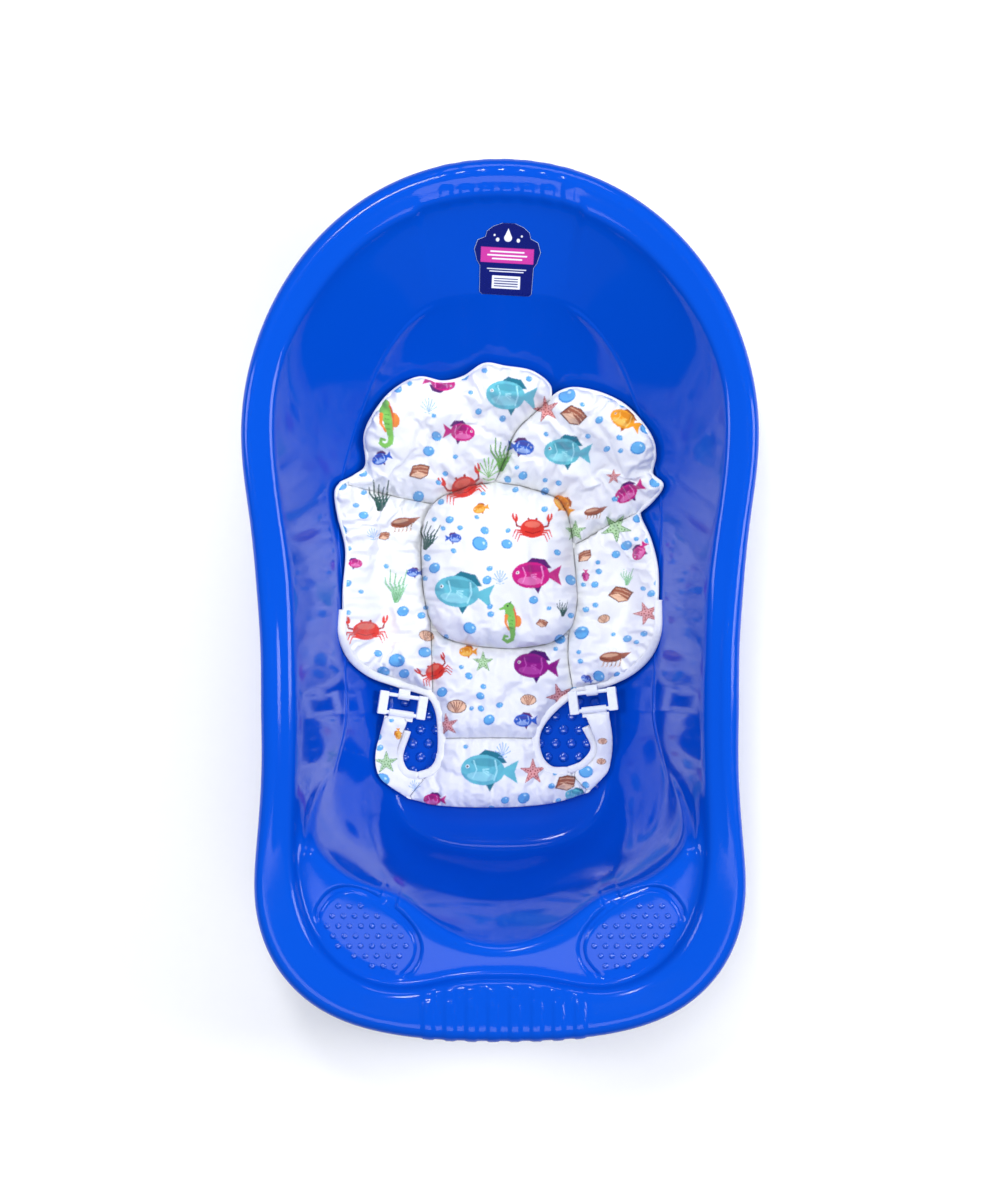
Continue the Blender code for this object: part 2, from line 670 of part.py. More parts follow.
def main():
    clear_scene()
    group = new_collection("baby_bathtub")
    cutters = new_collection("cutters")
    blue = material("blue_plastic", (0.004, 0.050, 0.420), 0.12)
    white = material("white_plastic", (0.82, 0.86, 0.92), 0.25)
    print_cloth = material("printed_fabric", (0.86, 0.90, 0.95), 0.85)
    tape = material("binding_tape", (0.80, 0.84, 0.92), 0.80)
    paper = material("sticker_film", (0.012, 0.020, 0.180), 0.30)

    surface = make_tub(group, blue)
    make_label(group, paper, surface)
    support = bpy.data.objects.new("support_axis", None)
    group.objects.link(support)
    make_cushions(group, print_cloth, support, surface)
    make_binding("binding_left", group, tape, support, surface, BINDING_LEFT)
    make_binding("binding_right", group, tape, support, surface, BINDING_RIGHT)
    make_clips(group, cutters, white, print_cloth)


main()
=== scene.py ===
"""Looks of the baby bathtub: a glossy moulded tub and a printed, padded bath support."""

import math

import bmesh
import bpy
import numpy as np
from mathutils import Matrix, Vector
from mathutils.bvhtree import BVHTree
from mathutils.geometry import delaunay_2d_cdt


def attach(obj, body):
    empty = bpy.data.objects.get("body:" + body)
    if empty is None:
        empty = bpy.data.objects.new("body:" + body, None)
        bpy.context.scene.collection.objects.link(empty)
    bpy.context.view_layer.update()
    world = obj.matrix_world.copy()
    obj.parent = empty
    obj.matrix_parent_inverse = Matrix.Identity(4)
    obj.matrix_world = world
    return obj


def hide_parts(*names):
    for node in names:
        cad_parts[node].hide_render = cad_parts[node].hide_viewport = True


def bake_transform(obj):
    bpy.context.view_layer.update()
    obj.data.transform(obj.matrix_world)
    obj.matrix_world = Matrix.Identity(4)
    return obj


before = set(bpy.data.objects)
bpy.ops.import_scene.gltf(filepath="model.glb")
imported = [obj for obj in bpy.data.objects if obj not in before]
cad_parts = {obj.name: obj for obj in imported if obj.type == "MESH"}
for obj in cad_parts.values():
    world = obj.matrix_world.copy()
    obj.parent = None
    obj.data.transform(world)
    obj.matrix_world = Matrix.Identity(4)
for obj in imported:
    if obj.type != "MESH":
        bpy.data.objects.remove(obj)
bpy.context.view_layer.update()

# ---------------------------------------------------------------- the tub
WALL = 0.003
RIM_HEIGHT = 0.25
HEM_HEIGHT = 0.2
DECK_HEIGHT = 0.2325
FLOOR_HEIGHT = WALL
CENTRE_Y = -0.08
SECTORS = 610

# Polar curves of the shell: degrees from the head end, and radius or height in mm.
OUTLINE = ("0,510 12,498.3 25,457.7 36,406 46,351.2 55,300.5 68,256.7 82,236.2 97,235 112,251.5 "
           "124,286.8 132,321.5 140,348.5 151,364 163,359 180,350")
LIP = ("0,470 12,460 25,417.7 36,366 46,303 56,252 68,219 82,203.5 97,202.2 114,220.5 124,244.5 "
       "134,279 142,305 152,321.5 162,316 171,297 180,290.5")
BASIN_EDGE = ("0,464 12,454 25,411.7 36,360 46,297 56,246 68,213 82,197.5 97,196.5 114,214 "
              "124,232 134,243 145,240 155,233 166,246 180,257.4")
CREASE = ("0,386 11,383 26,316 39,261 52,212 66,177 80,164 97,162 112,177 124,208 134,224 "
          "146,223 158,219 180,228")
FLOOR_EDGE = ("0,186 18,188 33,180 48,156 66,130 90,118 112,127 130,154 145,185 158,193 180,187")
CREASE_HEIGHT = ("0,168 11,165 26,132 39,102 52,90 75,86 110,88 126,120 145,145 180,140")
DECK_START = 117.0
DECK_FULL = 133.0
# Rings made between each two stations of the profile, hem to floor.
RING_STEPS = (2, 2, 4, 5, 4, 5, 5, 4, 4, 3, 6, 14, 14, 6, 5, 9, 9, 4, 3, 3, 2, 2, 2)
UNDER_STEPS = (1, 1, 2, 3, 2, 2, 2, 2, 2, 1, 2, 2, 2, 2, 2, 2, 2, 2, 2, 2, 1, 1, 1)

# Grip ribs across the rim.
FOOT_RIBS = 8
FOOT_RIB_PITCH = 0.0211
FOOT_RIB_WIDTH = 0.0104
FOOT_RIB_X = 0.004
FOOT_RIB_SPAN = 0.095
FOOT_RIB_HEIGHT = 0.0014
FOOT_RIB_FROM = -0.388
FOOT_RIB_END = (-0.376, -0.386)
HEAD_RIBS = 7
HEAD_RIB_PITCH = 0.0199
HEAD_RIB_X = 0.007
HEAD_RIB_WIDTH = 0.55 * HEAD_RIB_PITCH
HEAD_RIB_FROM = 0.36
HEAD_RIB_SOFT = (0.404, 0.398)
HEAD_RIB_HEIGHT = 0.001
LIP_STEP = 0.0035           # the lip stands back by this at the head grip
LIP_STEP_HALF_WIDTH = 0.086

# Soap dishes; the left one, mirrored for the right.
DISH_CENTRE = (-0.1295, -0.3268)
DISH_HALF_LENGTH = 0.0567
DISH_HALF_WIDTH = 0.0371
DISH_TILT = -36.0
DISH_DEPTH = 0.0007
DISH_MOAT = 0.0034
DISH_WALL = 0.0034
DISH_POWER = 2.35           # of the rounded oval
MOAT_IN = 0.0034
MOAT_WIDTH = 0.0021
DRAIN_FROM = (-0.112, -0.303)
DRAIN_TO = (-0.102, -0.269)
DRAIN_HALF_WIDTH = 0.0088
DRAIN_DEPTH = 0.0026
CREASE_PLACE = 16.0
CREASE_WIDTH = 0.16         # both in steps between stations of the profile
CREASE_RIDGE = 0.0019
NUB_ROWS = ((-0.1583, 3), (-0.1641, 5), (-0.169, 7), (-0.1632, 7), (-0.1583, 7),
            (-0.1426, 5), (-0.1251, 3))
NUB_ROW_Y = -0.299
NUB_ROW_PITCH = 0.00977
NUB_PITCH = 0.01104
NUB_RADIUS = 0.003
NUB_HEIGHT = 0.0014
BUMP_PITCH = 0.017
BUMP_RADIUS = 0.0056
BUMP_HEIGHT = 0.0019
BUMPS_FROM = -0.212

# ---------------------------------------------------------- the bath support
CLEARANCE = 0.003           # the pads lie this far over the basin
CLOTH_FRAMES = 20
CLOTH = {"vertex_group_mass": "hold", "quality": 5, "mass": 0.15, "tension_stiffness": 18.0,
         "compression_stiffness": 18.0, "shear_stiffness": 6.0, "bending_stiffness": 0.05,
         "use_pressure": True}
SEAM_HEIGHT = 0.009        # the edge tapes lie this far over the pads' underside
CELL = 0.004               # spacing of the cloth before it is subdivided

# Points are x,y in millimetres, seen from above. The pillow's edge runs clockwise
# from its top; its numbered points are where the seams round it meet it.
PILLOW_EDGE = ("-6,124 30,119 62,106 74,83 78,58 81,25 82,-5 74,-30 50,-46 15,-51 -25,-49 "
               "-58,-40 -74,-22 -81,5 -84,40 -82,75 -70,102 -40,118")
# Seams run in to the pillow, and free outer edges run clockwise. A binding's third
# number is its height over the basin.
LINES = {
    "seam_top": "52,208 18,178 6,150 -6,124",
    "seam_left": "-163,120 -115,110 -70,102",
    "seam_right": "145,92 110,75 78,58",
    "seam_lower_left": "-72,-98 -73,-62 -74,-22",
    "seam_lower_right": "78,-96 73,-62 74,-30",
    "edge_upper_left": "-163,120 -150,128 -138,140 -138,170 -124,197 -106,216 -83,227.5 "
                       "-59,224.5 -37,229.5 -16,241.5 5,239 32,234.5 50,222 52,208",
    "edge_upper_right": "52,208 64,215.5 80,217.5 107,210 131,195 152,169 158,149 156,130 "
                        "166,118 158,104 145,92",
    "edge_right": "145,92 147,84 156,62 162,33 162,0 161,-30 154,-53 138,-72 114,-86 78,-96",
    "edge_left": "-72,-98 -107,-87 -135,-76 -153,-58 -161,-34 -161,10 -159,52 -166,87 -168,110 "
                 "-163,120",
    "seat_left": "-61,-147.5 -64.5,-118 -72,-98",
    "seat_right": "78,-96 51,-120 37,-147.5",
    "front_top": "-61,-147.5 -12,-147 37,-147.5",
    "front_right_hole": "37,-147.5 40,-168 52,-183 74,-184",
    "front_lower": "94.5,-205.5 56,-217 4,-221.5 -62,-220 -98,-212",
    "front_left_hole": "-80,-190 -67,-183 -62.5,-168 -61,-147.5",
    "strap_seam_left": "-80,-190 -98,-212",
    "strap_seam_right": "94.5,-205.5 74,-184",
    "strap_left": "-98,-212 -116,-200 -128.5,-187 -132,-163 -122.5,-122.5",
    "strap_left_end": "-122.5,-122.5 -97.5,-126.5",
    "strap_left_hole": "-97.5,-126.5 -109.5,-163 -102,-186 -80,-190",
    "strap_right_hole": "74,-184 93,-177 103,-158 90.5,-121.5",
    "strap_right_end": "90.5,-121.5 115.5,-118.5",
    "strap_right": "115.5,-118.5 120,-152 116.5,-180 108,-192 94.5,-205.5",
    "binding_left": "-165,-10,14.8 -165.5,-36,14.8 -157,-61,14.8 -138,-80,14.8 -110,-91.5,14.8 "
                    "-79,-102,12 -69,-116,11 -65.5,-140,10 -66.5,-166,9 -74,-179.5,8.5 "
                    "-88,-185,8 -99.5,-181.5,7.5 -104.5,-166.5,10 -96,-140,17.5",
    "binding_right": "166,0,14.8 165.5,-31,14.8 158,-56,14.8 141.5,-76,14.8 116,-90.5,14.8 "
                     "82,-100.5,12 56,-121,11 42,-143,10 44,-166,9 55,-178.5,8.5 72,-179.5,8 "
                     "88,-172.5,7.5 98,-157.5,11 88.5,-136,17.5",
}
# Each pad: its outline by lines in turn, "-" for one run backwards and "pillow:A:B" for
# the pillow's edge between two of its points; top and seam height, mm; stuffing.
PADS = (
    ("head_pillow", "pillow:0:0", 42, 9, "puffy"),
    ("ring_cushion_upper_left",
     "edge_upper_left seam_top -pillow:16:0 -seam_left", 36, 9, "puffy"),
    ("ring_cushion_upper_right",
     "edge_upper_right seam_right -pillow:0:4 -seam_top", 36, 9, "puffy"),
    ("ring_cushion_right",
     "edge_right seam_lower_right -pillow:4:7 -seam_right", 36, 9, "puffy"),
    ("ring_cushion_left",
     "edge_left seam_left -pillow:12:16 -seam_lower_left", 36, 9, "puffy"),
    ("seat_panel", "seat_left seam_lower_left -pillow:7:12 -seam_lower_right seat_right "
                   "-front_top", 22, 6.8, "flat"),
    ("front_panel", "front_top front_right_hole -strap_seam_right front_lower "
                    "-strap_seam_left front_left_hole", 15, 5.8, "flat"),
    ("leg_strap_left", "strap_left strap_left_end strap_left_hole strap_seam_left",
     8, 4.8, "strap"),
    ("leg_strap_right", "strap_right strap_seam_right strap_right_hole strap_right_end",
     8, 4.8, "strap"),
)
# Pressure, spare cloth, most movement, edge roundness, wrinkle height.
STUFFING = {"puffy": (4.5, 0.11, 0.015, 0.034, 0.0032),
            "flat": (2.0, 0.07, 0.007, 0.022, 0.0018),
            "strap": (0.0, 0.0, 0.0, 0.007, 0.0006)}
START_FULLNESS = 0.86       # share of its height that a pad has before it is blown up
GATHER_PITCHES = (0.0115, 0.017, 0.029)
GATHER_REACH = 0.016        # gathers fade out over this from the seam

BINDING_HALF_WIDTH = 0.0043
BINDING_HALF_HEIGHT = 0.0021
BINDING_SHIFT = 0.003      # the tape lies this far in over the pads' edges
BINDING_STRAP_KNOT = 10     # from here a binding runs up the strap
# Each strap's clip, and the points where the strap would start and end to follow it; only the
# strap names are read, and those pieces are baked in place instead of attached to the support.
STRAP_BENDS = {"leg_strap_left": ("clip_left", (-0.117, -0.172, 0.014), (-0.11, -0.128, 0.026)),
               "leg_strap_right": ("clip_right", (0.111, -0.168, 0.014), (0.104, -0.123, 0.026))}
EDGE_TAPE_HALF_WIDTH = 0.0019
EDGE_TAPE_HALF_HEIGHT = 0.0014
# The straps leave the floor here and reach the clip's front bar here.
STRAP_RAMP_START = -0.186
STRAP_RAMP_END = -0.13
CLIP_HEIGHT = 0.026

LABEL_X = 0.007
LABEL_FROM = 0.306          # lower and upper end, along Y
LABEL_TO = 0.37
LABEL_LIFT = 0.0006
LABEL_TURN = 3.0            # degrees, clockwise from above
LABEL_ROWS = 150
LABEL_COLUMNS = 120
# Share of the sticker's length from its lower end, and its half width in mm.
LABEL_SHAPE = ("0,23.5 0.03,26.2 0.4,26.8 0.47,30 0.62,33 0.75,30 0.8,22.5 0.88,21 "
               "0.95,15 1,6")
STICKER_INK = ((0.05, 0.1, 0.42), (0.96, 0.97, 1.0), (0.8, 0.24, 0.62))

# The print: motif, place in mm, length in mm, turn in degrees, colours. A negative
# length mirrors the motif.
MOTIFS = """
    fish -62 224 34 170 magenta; fish 11 210 54 -5 teal; horse -118 181 53 4 green;
    fish -42 174 -34 -4 magenta; star 48 197 26 10 red; cone 75 189 27 -35 brown;
    fish 128 183 35 -28 orange; fish 22 160 -29 -10 blue; fish 70 154 51 -4 teal;
    fan -73 199 17 0 pale; fan 114 209 15 0 pale; cone -84 133 23 0 brown; crab -38 119 52 20 red;
    weed 1 152 32 0 green; fan -12 138 24 0 green; weed -126 108 31 0 dark;
    hermit -101 80 34 5 brown; cone -122 67 13 0 brown; weed -76 67 29 -15 dark;
    fish -49 65 -18 0 blue; crab 34 75 48 0 red; fish 67 101 26 -45 orange;
    hermit 100 92 27 5 brown; star 80 73 22 0 green; star 122 76 30 40 green;
    fish 134 112 32 30 magenta; fish -152 38 -18 0 magenta; fish 146 51 22 60 magenta;
    cone 90 46 17 20 brown; fish 91 26 13 90 magenta; fish -91 29 17 0 blue;
    fish -39 8 64 -8 teal; fish 38 26 54 0 magenta; horse 9 -24 46 0 green;
    crab -140 -32 48 0 red; weed -110 14 34 0 mint; fan 0 24 16 0 pale; cone 127 5 25 -20 brown;
    cone 44 -25 13 -20 brown; weed 66 -9 17 0 dark; shell -78 -38 16 -20 brown;
    fish -34 -55 20 0 orange; star -18 -66 22 0 green; fish 38 -70 50 -5 violet;
    crab -69 -76 40 30 red; hermit 120 -62 36 0 brown; star 152 -14 24 20 red;
    shell -46 -113 21 0 brown; shell 30 -106 17 0 brown; star -56 -133 24 10 red;
    star 64 -103 29 20 red; star 35 -183 27 0 red; fish 27 -128 26 0 blue;
    fish 92 -84 14 -30 blue; fish -12 -181 63 -3 teal; fan 3 -160 17 0 pale;
    fish -108 -142 13 90 orange; star -121 -173 24 0 green; fan -91 -198 13 0 pale;
    cone 70 -196 24 0 brown; shell 109 -150 10 0 brown; shell 108 -172 10 0 brown;
    fish -70 -213 25 0 magenta; fish 82 -209 27 -10 teal; star 118 128 15 0 red;
    fish -20 96 18 15 orange; shell 110 -20 13 15 brown; fish -122 146 22 20 blue;
    weed 134 24 17 0 mint; fan -133 69 13 10 pale
"""
# Body, dark and light colour of each ink.
INKS = {
    "teal": "0.4,0.74,0.8 0.16,0.46,0.54 0.66,0.9,0.93",
    "magenta": "0.8,0.13,0.5 0.36,0.13,0.42 0.93,0.55,0.78",
    "violet": "0.55,0.09,0.5 0.3,0.07,0.42 0.72,0.3,0.66",
    "blue": "0.18,0.38,0.78 0.36,0.16,0.42 0.75,0.85,0.97",
    "orange": "0.95,0.62,0.16 0.72,0.36,0.08 0.99,0.83,0.45",
    "green": "0.5,0.76,0.36 0.28,0.52,0.22 0.93,0.55,0.25",
    "mint": "0.62,0.84,0.66 0.42,0.68,0.46 0.8,0.94,0.8",
    "dark": "0.2,0.38,0.34 0.12,0.26,0.26 0.34,0.54,0.46",
    "red": "0.86,0.22,0.18 0.62,0.08,0.1 0.98,0.62,0.52",
    "brown": "0.62,0.36,0.28 0.38,0.18,0.14 0.93,0.76,0.64",
    "pale": "0.55,0.72,0.92 0.55,0.72,0.92 0.55,0.72,0.92",
    "bubble": "0.4,0.69,0.9 0.26,0.55,0.82 0.78,0.92,1",
}
CLOTH_WHITE = (0.95, 0.955, 0.965)
SHELL_IOR = 1.25
NUB_IOR = 1.75              # worn bright on top
BUBBLES = 420               # tries at placing one
PRINT_BLUR = 0.00035
WHITE = (1.0, 1.0, 1.0)
BLACK = (0.01, 0.01, 0.03)
FIN_RED = (0.8, 0.05, 0.05)

# ----------------------------------------------------------------- camera
CAMERA_HEIGHT = 2.6
FRAME_LENGTH = 1.1635       # what the frame's height covers at the rim


# ------------------------------------------------------------------ tools
def smooth_step(start, end, value):
    t = np.clip((value - start) / (end - start), 0.0, 1.0)
    return t * t * (3.0 - 2.0 * t)


def mix(a, b, t):
    return a + (b - a) * t


def points_of(text, unit=1.0):
    """The points written in a line of text, "x,y x,y", divided by a unit."""
    return [tuple(float(v) / unit for v in pair.split(",")) for pair in text.split()]


def polar_curve(text):
    """A smooth function through angle,millimetres knots, level at both ends."""
    x, y = np.array(points_of(text)).T
    y = y / 1000.0
    count = len(x)
    gap = np.diff(x)
    rise = np.diff(y) / gap
    system = np.eye(count)
    target = np.zeros(count)
    target[1:-1] = 3.0 * (gap[1:] * rise[:-1] + gap[:-1] * rise[1:])
    for i in range(1, count - 1):
        system[i, i - 1:i + 2] = gap[i], 2.0 * (gap[i - 1] + gap[i]), gap[i - 1]
    slope = np.linalg.solve(system, target)

    def value(angle):
        i = np.clip(np.searchsorted(x, angle) - 1, 0, count - 2)
        t = (angle - x[i]) / gap[i]
        a = 2 * t ** 3 - 3 * t ** 2 + 1
        b = t ** 3 - 2 * t ** 2 + t
        c = -2 * t ** 3 + 3 * t ** 2
        d = t ** 3 - t ** 2
        return a * y[i] + b * gap[i] * slope[i] + c * y[i + 1] + d * gap[i] * slope[i + 1]

    return value


def mesh_piece(name, points, faces, finish):
    mesh = bpy.data.meshes.new(name)
    mesh.from_pydata([tuple(p) for p in points], [], faces)
    mesh.validate()
    if finish:
        mesh.materials.append(finish)
    mesh.shade_smooth()
    made = bpy.data.objects.new(name, mesh)
    bpy.context.scene.collection.objects.link(made)
    return made


def apply_modifiers(piece):
    """Keep a piece's evaluated mesh and drop its modifiers."""
    bpy.context.view_layer.update()
    graph = bpy.context.evaluated_depsgraph_get()
    mesh = bpy.data.meshes.new_from_object(piece.evaluated_get(graph))
    old = piece.data
    piece.modifiers.clear()
    piece.data = mesh
    bpy.data.meshes.remove(old)


# -------------------------------------------------------------- materials
class Nodes:
    """A short way to build a material's node tree."""

    def __init__(self, name):
        self.material = bpy.data.materials.new(name)
        self.material.use_nodes = True
        self.tree = self.material.node_tree
        self.shader = self.tree.nodes["Principled BSDF"]
        self.where = self.add("TexCoord").outputs["Object"]

    def add(self, kind, inputs=None, **settings):
        node = self.tree.nodes.new("ShaderNode" + kind)
        for key, value in settings.items():
            setattr(node, key, value)
        for key, value in (inputs or {}).items():
            if isinstance(value, bpy.types.NodeSocket):
                self.tree.links.new(value, node.inputs[key])
            else:
                node.inputs[key].default_value = value
        return node

    def ramp(self, factor, low, high):
        """Map a factor linearly on to the range low to high."""
        return self.add("MapRange", {"Value": factor, "To Min": low, "To Max": high}).outputs[0]

    def noise(self, scale, detail=2.0):
        inputs = {"Vector": self.where, "Scale": scale, "Detail": detail}
        return self.add("TexNoise", inputs).outputs["Fac"]

    def bump(self, height, distance, strength, under=None):
        inputs = {"Height": height, "Distance": distance, "Strength": strength}
        return self.add("Bump", inputs | ({"Normal": under} if under else {})).outputs[0]

    def blend(self, factor, a, b):
        inputs = {0: factor, 6: (*a, 1.0), 7: (*b, 1.0)}
        return self.add("Mix", inputs, data_type="RGBA").outputs[2]

    def scale(self, colour, factor):
        return self.add("VectorMath", {0: colour, 1: factor}, operation="MULTIPLY").outputs[0]

    def connect(self, socket, target):
        self.tree.links.new(socket, self.shader.inputs[target])

    def set(self, **values):
        for key, value in values.items():
            self.shader.inputs[key.replace("_", " ")].default_value = value


def blue_plastic(name, ior):
    """Glossy coloured polypropylene with faint flow ripple and handling marks."""
    n = Nodes(name)
    broad = n.noise(5.0)
    colour = n.blend(broad, (0.0006, 0.057, 0.48), (0.0008, 0.07, 0.54))
    n.connect(colour, "Base Color")
    smear = n.noise(38.0, 4.0)
    n.connect(n.ramp(smear, 0.05, 0.12), "Roughness")
    ripple = n.noise(26.0)
    grain = n.noise(420.0)
    first = n.bump(ripple, 0.0005, 0.16)
    n.connect(n.bump(grain, 0.00004, 0.25, first), "Normal")
    n.set(IOR=ior)
    return n.material


def stage_paper():
    n = Nodes("stage_paper")
    speck = n.noise(60.0, 3.0)
    n.connect(n.blend(speck, (0.93, 0.93, 0.94), (0.96, 0.96, 0.965)), "Base Color")
    n.set(Roughness=0.9)
    return n.material


# -------------------------------------------------------------- tub shell
outline_at = polar_curve(OUTLINE)
lip_at = polar_curve(LIP)
basin_edge_at = polar_curve(BASIN_EDGE)
crease_at = polar_curve(CREASE)
floor_edge_at = polar_curve(FLOOR_EDGE)
crease_height_at = polar_curve(CREASE_HEIGHT)


def profile_stations(angle):
    """Control points (radius, height) of the inner face on each ray."""
    outer = outline_at(angle)
    lip = lip_at(angle)
    edge = basin_edge_at(angle)
    crease = crease_at(angle)
    floor = floor_edge_at(angle)
    high = crease_height_at(angle)
    deck = smooth_step(DECK_START, DECK_FULL, angle)
    across = outline_at(angle) * np.sin(np.radians(angle))
    at_head = (1.0 - smooth_step(LIP_STEP_HALF_WIDTH - 0.006, LIP_STEP_HALF_WIDTH + 0.006,
                                 across)) * (angle < 90)
    lip = lip + LIP_STEP * at_head
    top = RIM_HEIGHT

    def on_wall(t):
        return mix(lip - 0.004, crease, t), mix(top - 0.014, high, t)

    def either(wall_t, radius, height):
        wall_radius, wall_height = on_wall(wall_t)
        return mix(wall_radius, radius, deck), mix(wall_height, height, deck)

    line = [
        (outer - 0.0015, HEM_HEIGHT - 0.003),
        (outer - 0.0015, HEM_HEIGHT + 0.01),
        (outer - 0.0005, top - 0.02),
        (outer + 0.0005, top - 0.006),
        (outer - 0.007, top + 0.0015),
        (outer - 0.017, top + 0.001),
        (mix(outer, lip, 0.6), top - 0.001),
        (lip + 0.006, top - 0.003),
        (lip + 0.0005, top - 0.005),
        (lip - 0.003, top - 0.011),
        either(0.06, lip - 0.0045, DECK_HEIGHT + 0.001),
        either(0.25, lip - 0.012, DECK_HEIGHT),
        either(0.5, mix(lip - 0.012, edge + 0.008, 0.5), DECK_HEIGHT),
        either(0.75, edge + 0.007, DECK_HEIGHT),
        either(0.9, edge + 0.0005, DECK_HEIGHT - 0.003),
        either(0.97, edge - 0.004, DECK_HEIGHT - 0.012),
        (crease - 0.0005, high - 0.0005),
        (mix(crease, floor, 0.14), mix(high, FLOOR_HEIGHT, 0.2)),
        (mix(crease, floor, 0.5), mix(high, FLOOR_HEIGHT, 0.62)),
        (mix(crease, floor, 0.85), mix(high, FLOOR_HEIGHT, 0.94)),
        (floor - 0.006, FLOOR_HEIGHT),
        (floor - 0.02, FLOOR_HEIGHT),
        (floor * 0.6, FLOOR_HEIGHT),
        (floor * 0.3, FLOOR_HEIGHT),
    ]
    return [np.stack([part + 0.0 * angle for part in parts], axis=1) for parts in zip(*line)]


def spline_rings(values, steps):
    """A uniform cubic B-spline over axis 1, with its slope, at even steps."""
    padded = np.concatenate((values[:, :1], values, values[:, -1:]), axis=1)
    last = padded.shape[1] - 3
    places = [k + j / count for k, count in enumerate(steps) for j in range(count)] + [last]
    points = []
    slopes = []
    for place in places:
        k = min(int(place), last - 1)
        t = place - k
        weights = ((1 - t) ** 3 / 6, (3 * t ** 3 - 6 * t ** 2 + 4) / 6,
                   (-3 * t ** 3 + 3 * t ** 2 + 3 * t + 1) / 6, t ** 3 / 6)
        rates = (-(1 - t) ** 2 / 2, (3 * t ** 2 - 4 * t) / 2,
                 (-3 * t ** 2 + 2 * t + 1) / 2, t ** 2 / 2)
        near = padded[:, k:k + 4]
        points.append(near @ np.array(weights))
        slopes.append(near @ np.array(rates))
    return np.stack(points, axis=1), np.stack(slopes, axis=1), np.array(places)


def ray_angles(count):
    """Ray angles over the turn, closer together round the deck and the grips."""
    fine = np.linspace(0.0, 180.0, 1441)
    radius = outline_at(fine)
    x = radius * np.sin(np.radians(fine))
    y = radius * np.cos(np.radians(fine))
    steps = np.hypot(np.diff(x), np.diff(y))
    middle = 0.5 * (fine[1:] + fine[:-1])
    weight = (3.0 + 2.2 * smooth_step(122.0, 132.0, middle)
              - 2.0 * smooth_step(10.0, 14.0, middle))
    along = np.concatenate(([0.0], np.cumsum(steps * weight)))
    half = np.interp(np.linspace(0.0, along[-1], count // 2 + 1), along, fine)
    angles = np.concatenate((half, half[-2:0:-1]))
    side = np.concatenate((np.ones(len(half)), -np.ones(len(half) - 2)))
    return angles, side


def comb(x, middle, count, pitch, width):
    """1 on each of an even row of ribs and 0 between them."""
    from_first = x - middle + 0.5 * (count - 1) * pitch
    nearest = np.clip(np.round(from_first / pitch), 0, count - 1)
    off = np.abs(from_first - nearest * pitch)
    return 1.0 - smooth_step(0.5 * width - 0.0016, 0.5 * width + 0.0016, off)


def dish_distance(x, y):
    """Signed distance to the left dish and its drain, negative inside."""
    tilt = math.radians(DISH_TILT)
    dx = x - DISH_CENTRE[0]
    dy = y - DISH_CENTRE[1]
    along = dx * math.cos(tilt) + dy * math.sin(tilt)
    across = -dx * math.sin(tilt) + dy * math.cos(tilt)
    size = (np.abs(along / DISH_HALF_LENGTH) ** DISH_POWER
            + np.abs(across / DISH_HALF_WIDTH) ** DISH_POWER) ** (1.0 / DISH_POWER)
    reach = np.hypot(along, across) / np.maximum(size, 1e-6)
    oval = (size - 1.0) * reach
    start = np.array(DRAIN_FROM)
    run = np.array(DRAIN_TO) - start
    length = np.hypot(*run)
    run = run / length
    t = (x - start[0]) * run[0] + (y - start[1]) * run[1]
    off = np.abs(-(x - start[0]) * run[1] + (y - start[1]) * run[0])
    channel = np.maximum(off - DRAIN_HALF_WIDTH, np.maximum(-t, t - length))
    return np.minimum(oval, channel), oval


def relief(x, y, place):
    """Height of the moulded detail over the plain shell."""
    height = np.zeros_like(x)
    foot = comb(x, FOOT_RIB_X, FOOT_RIBS, FOOT_RIB_PITCH, FOOT_RIB_WIDTH)
    ends = (smooth_step(FOOT_RIB_END[0] + 0.001, FOOT_RIB_END[0] - 0.001, y)
            * smooth_step(FOOT_RIB_END[1] - 0.001, FOOT_RIB_END[1] + 0.001, y))
    length = smooth_step(FOOT_RIB_FROM + 0.003, FOOT_RIB_FROM - 0.003, y) + 0.5 * ends
    height += FOOT_RIB_HEIGHT * foot * length * (np.abs(x) < FOOT_RIB_SPAN) * (place < 9.0)
    head = comb(x, HEAD_RIB_X, HEAD_RIBS, HEAD_RIB_PITCH, HEAD_RIB_WIDTH)
    by_lip = 0.35 + 0.65 * smooth_step(*HEAD_RIB_SOFT, y)
    height += HEAD_RIB_HEIGHT * head * by_lip * (y > HEAD_RIB_FROM) * smooth_step(9.6, 8.6, place)
    ridge = np.exp(-((place - CREASE_PLACE) / CREASE_WIDTH) ** 2)
    height += (CREASE_RIDGE * ridge * smooth_step(-0.2, -0.14, y)
               * smooth_step(0.06, 0.085, np.abs(x)))
    on_deck = smooth_step(10.6, 11.2, place) * smooth_step(15.6, 14.6, place)
    near, oval = dish_distance(-np.abs(x), y)
    sunk = smooth_step(0.5 * DISH_WALL, -0.5 * DISH_WALL, near)
    moat = np.exp(-((near + MOAT_IN) / MOAT_WIDTH) ** 2) * smooth_step(0.004, -0.001, oval)
    drain = smooth_step(0.0016, -0.0016, near) * smooth_step(-0.004, 0.002, oval)
    height -= on_deck * (y < -0.2) * (DISH_DEPTH * sunk + DISH_MOAT * moat + DRAIN_DEPTH * drain)
    return height


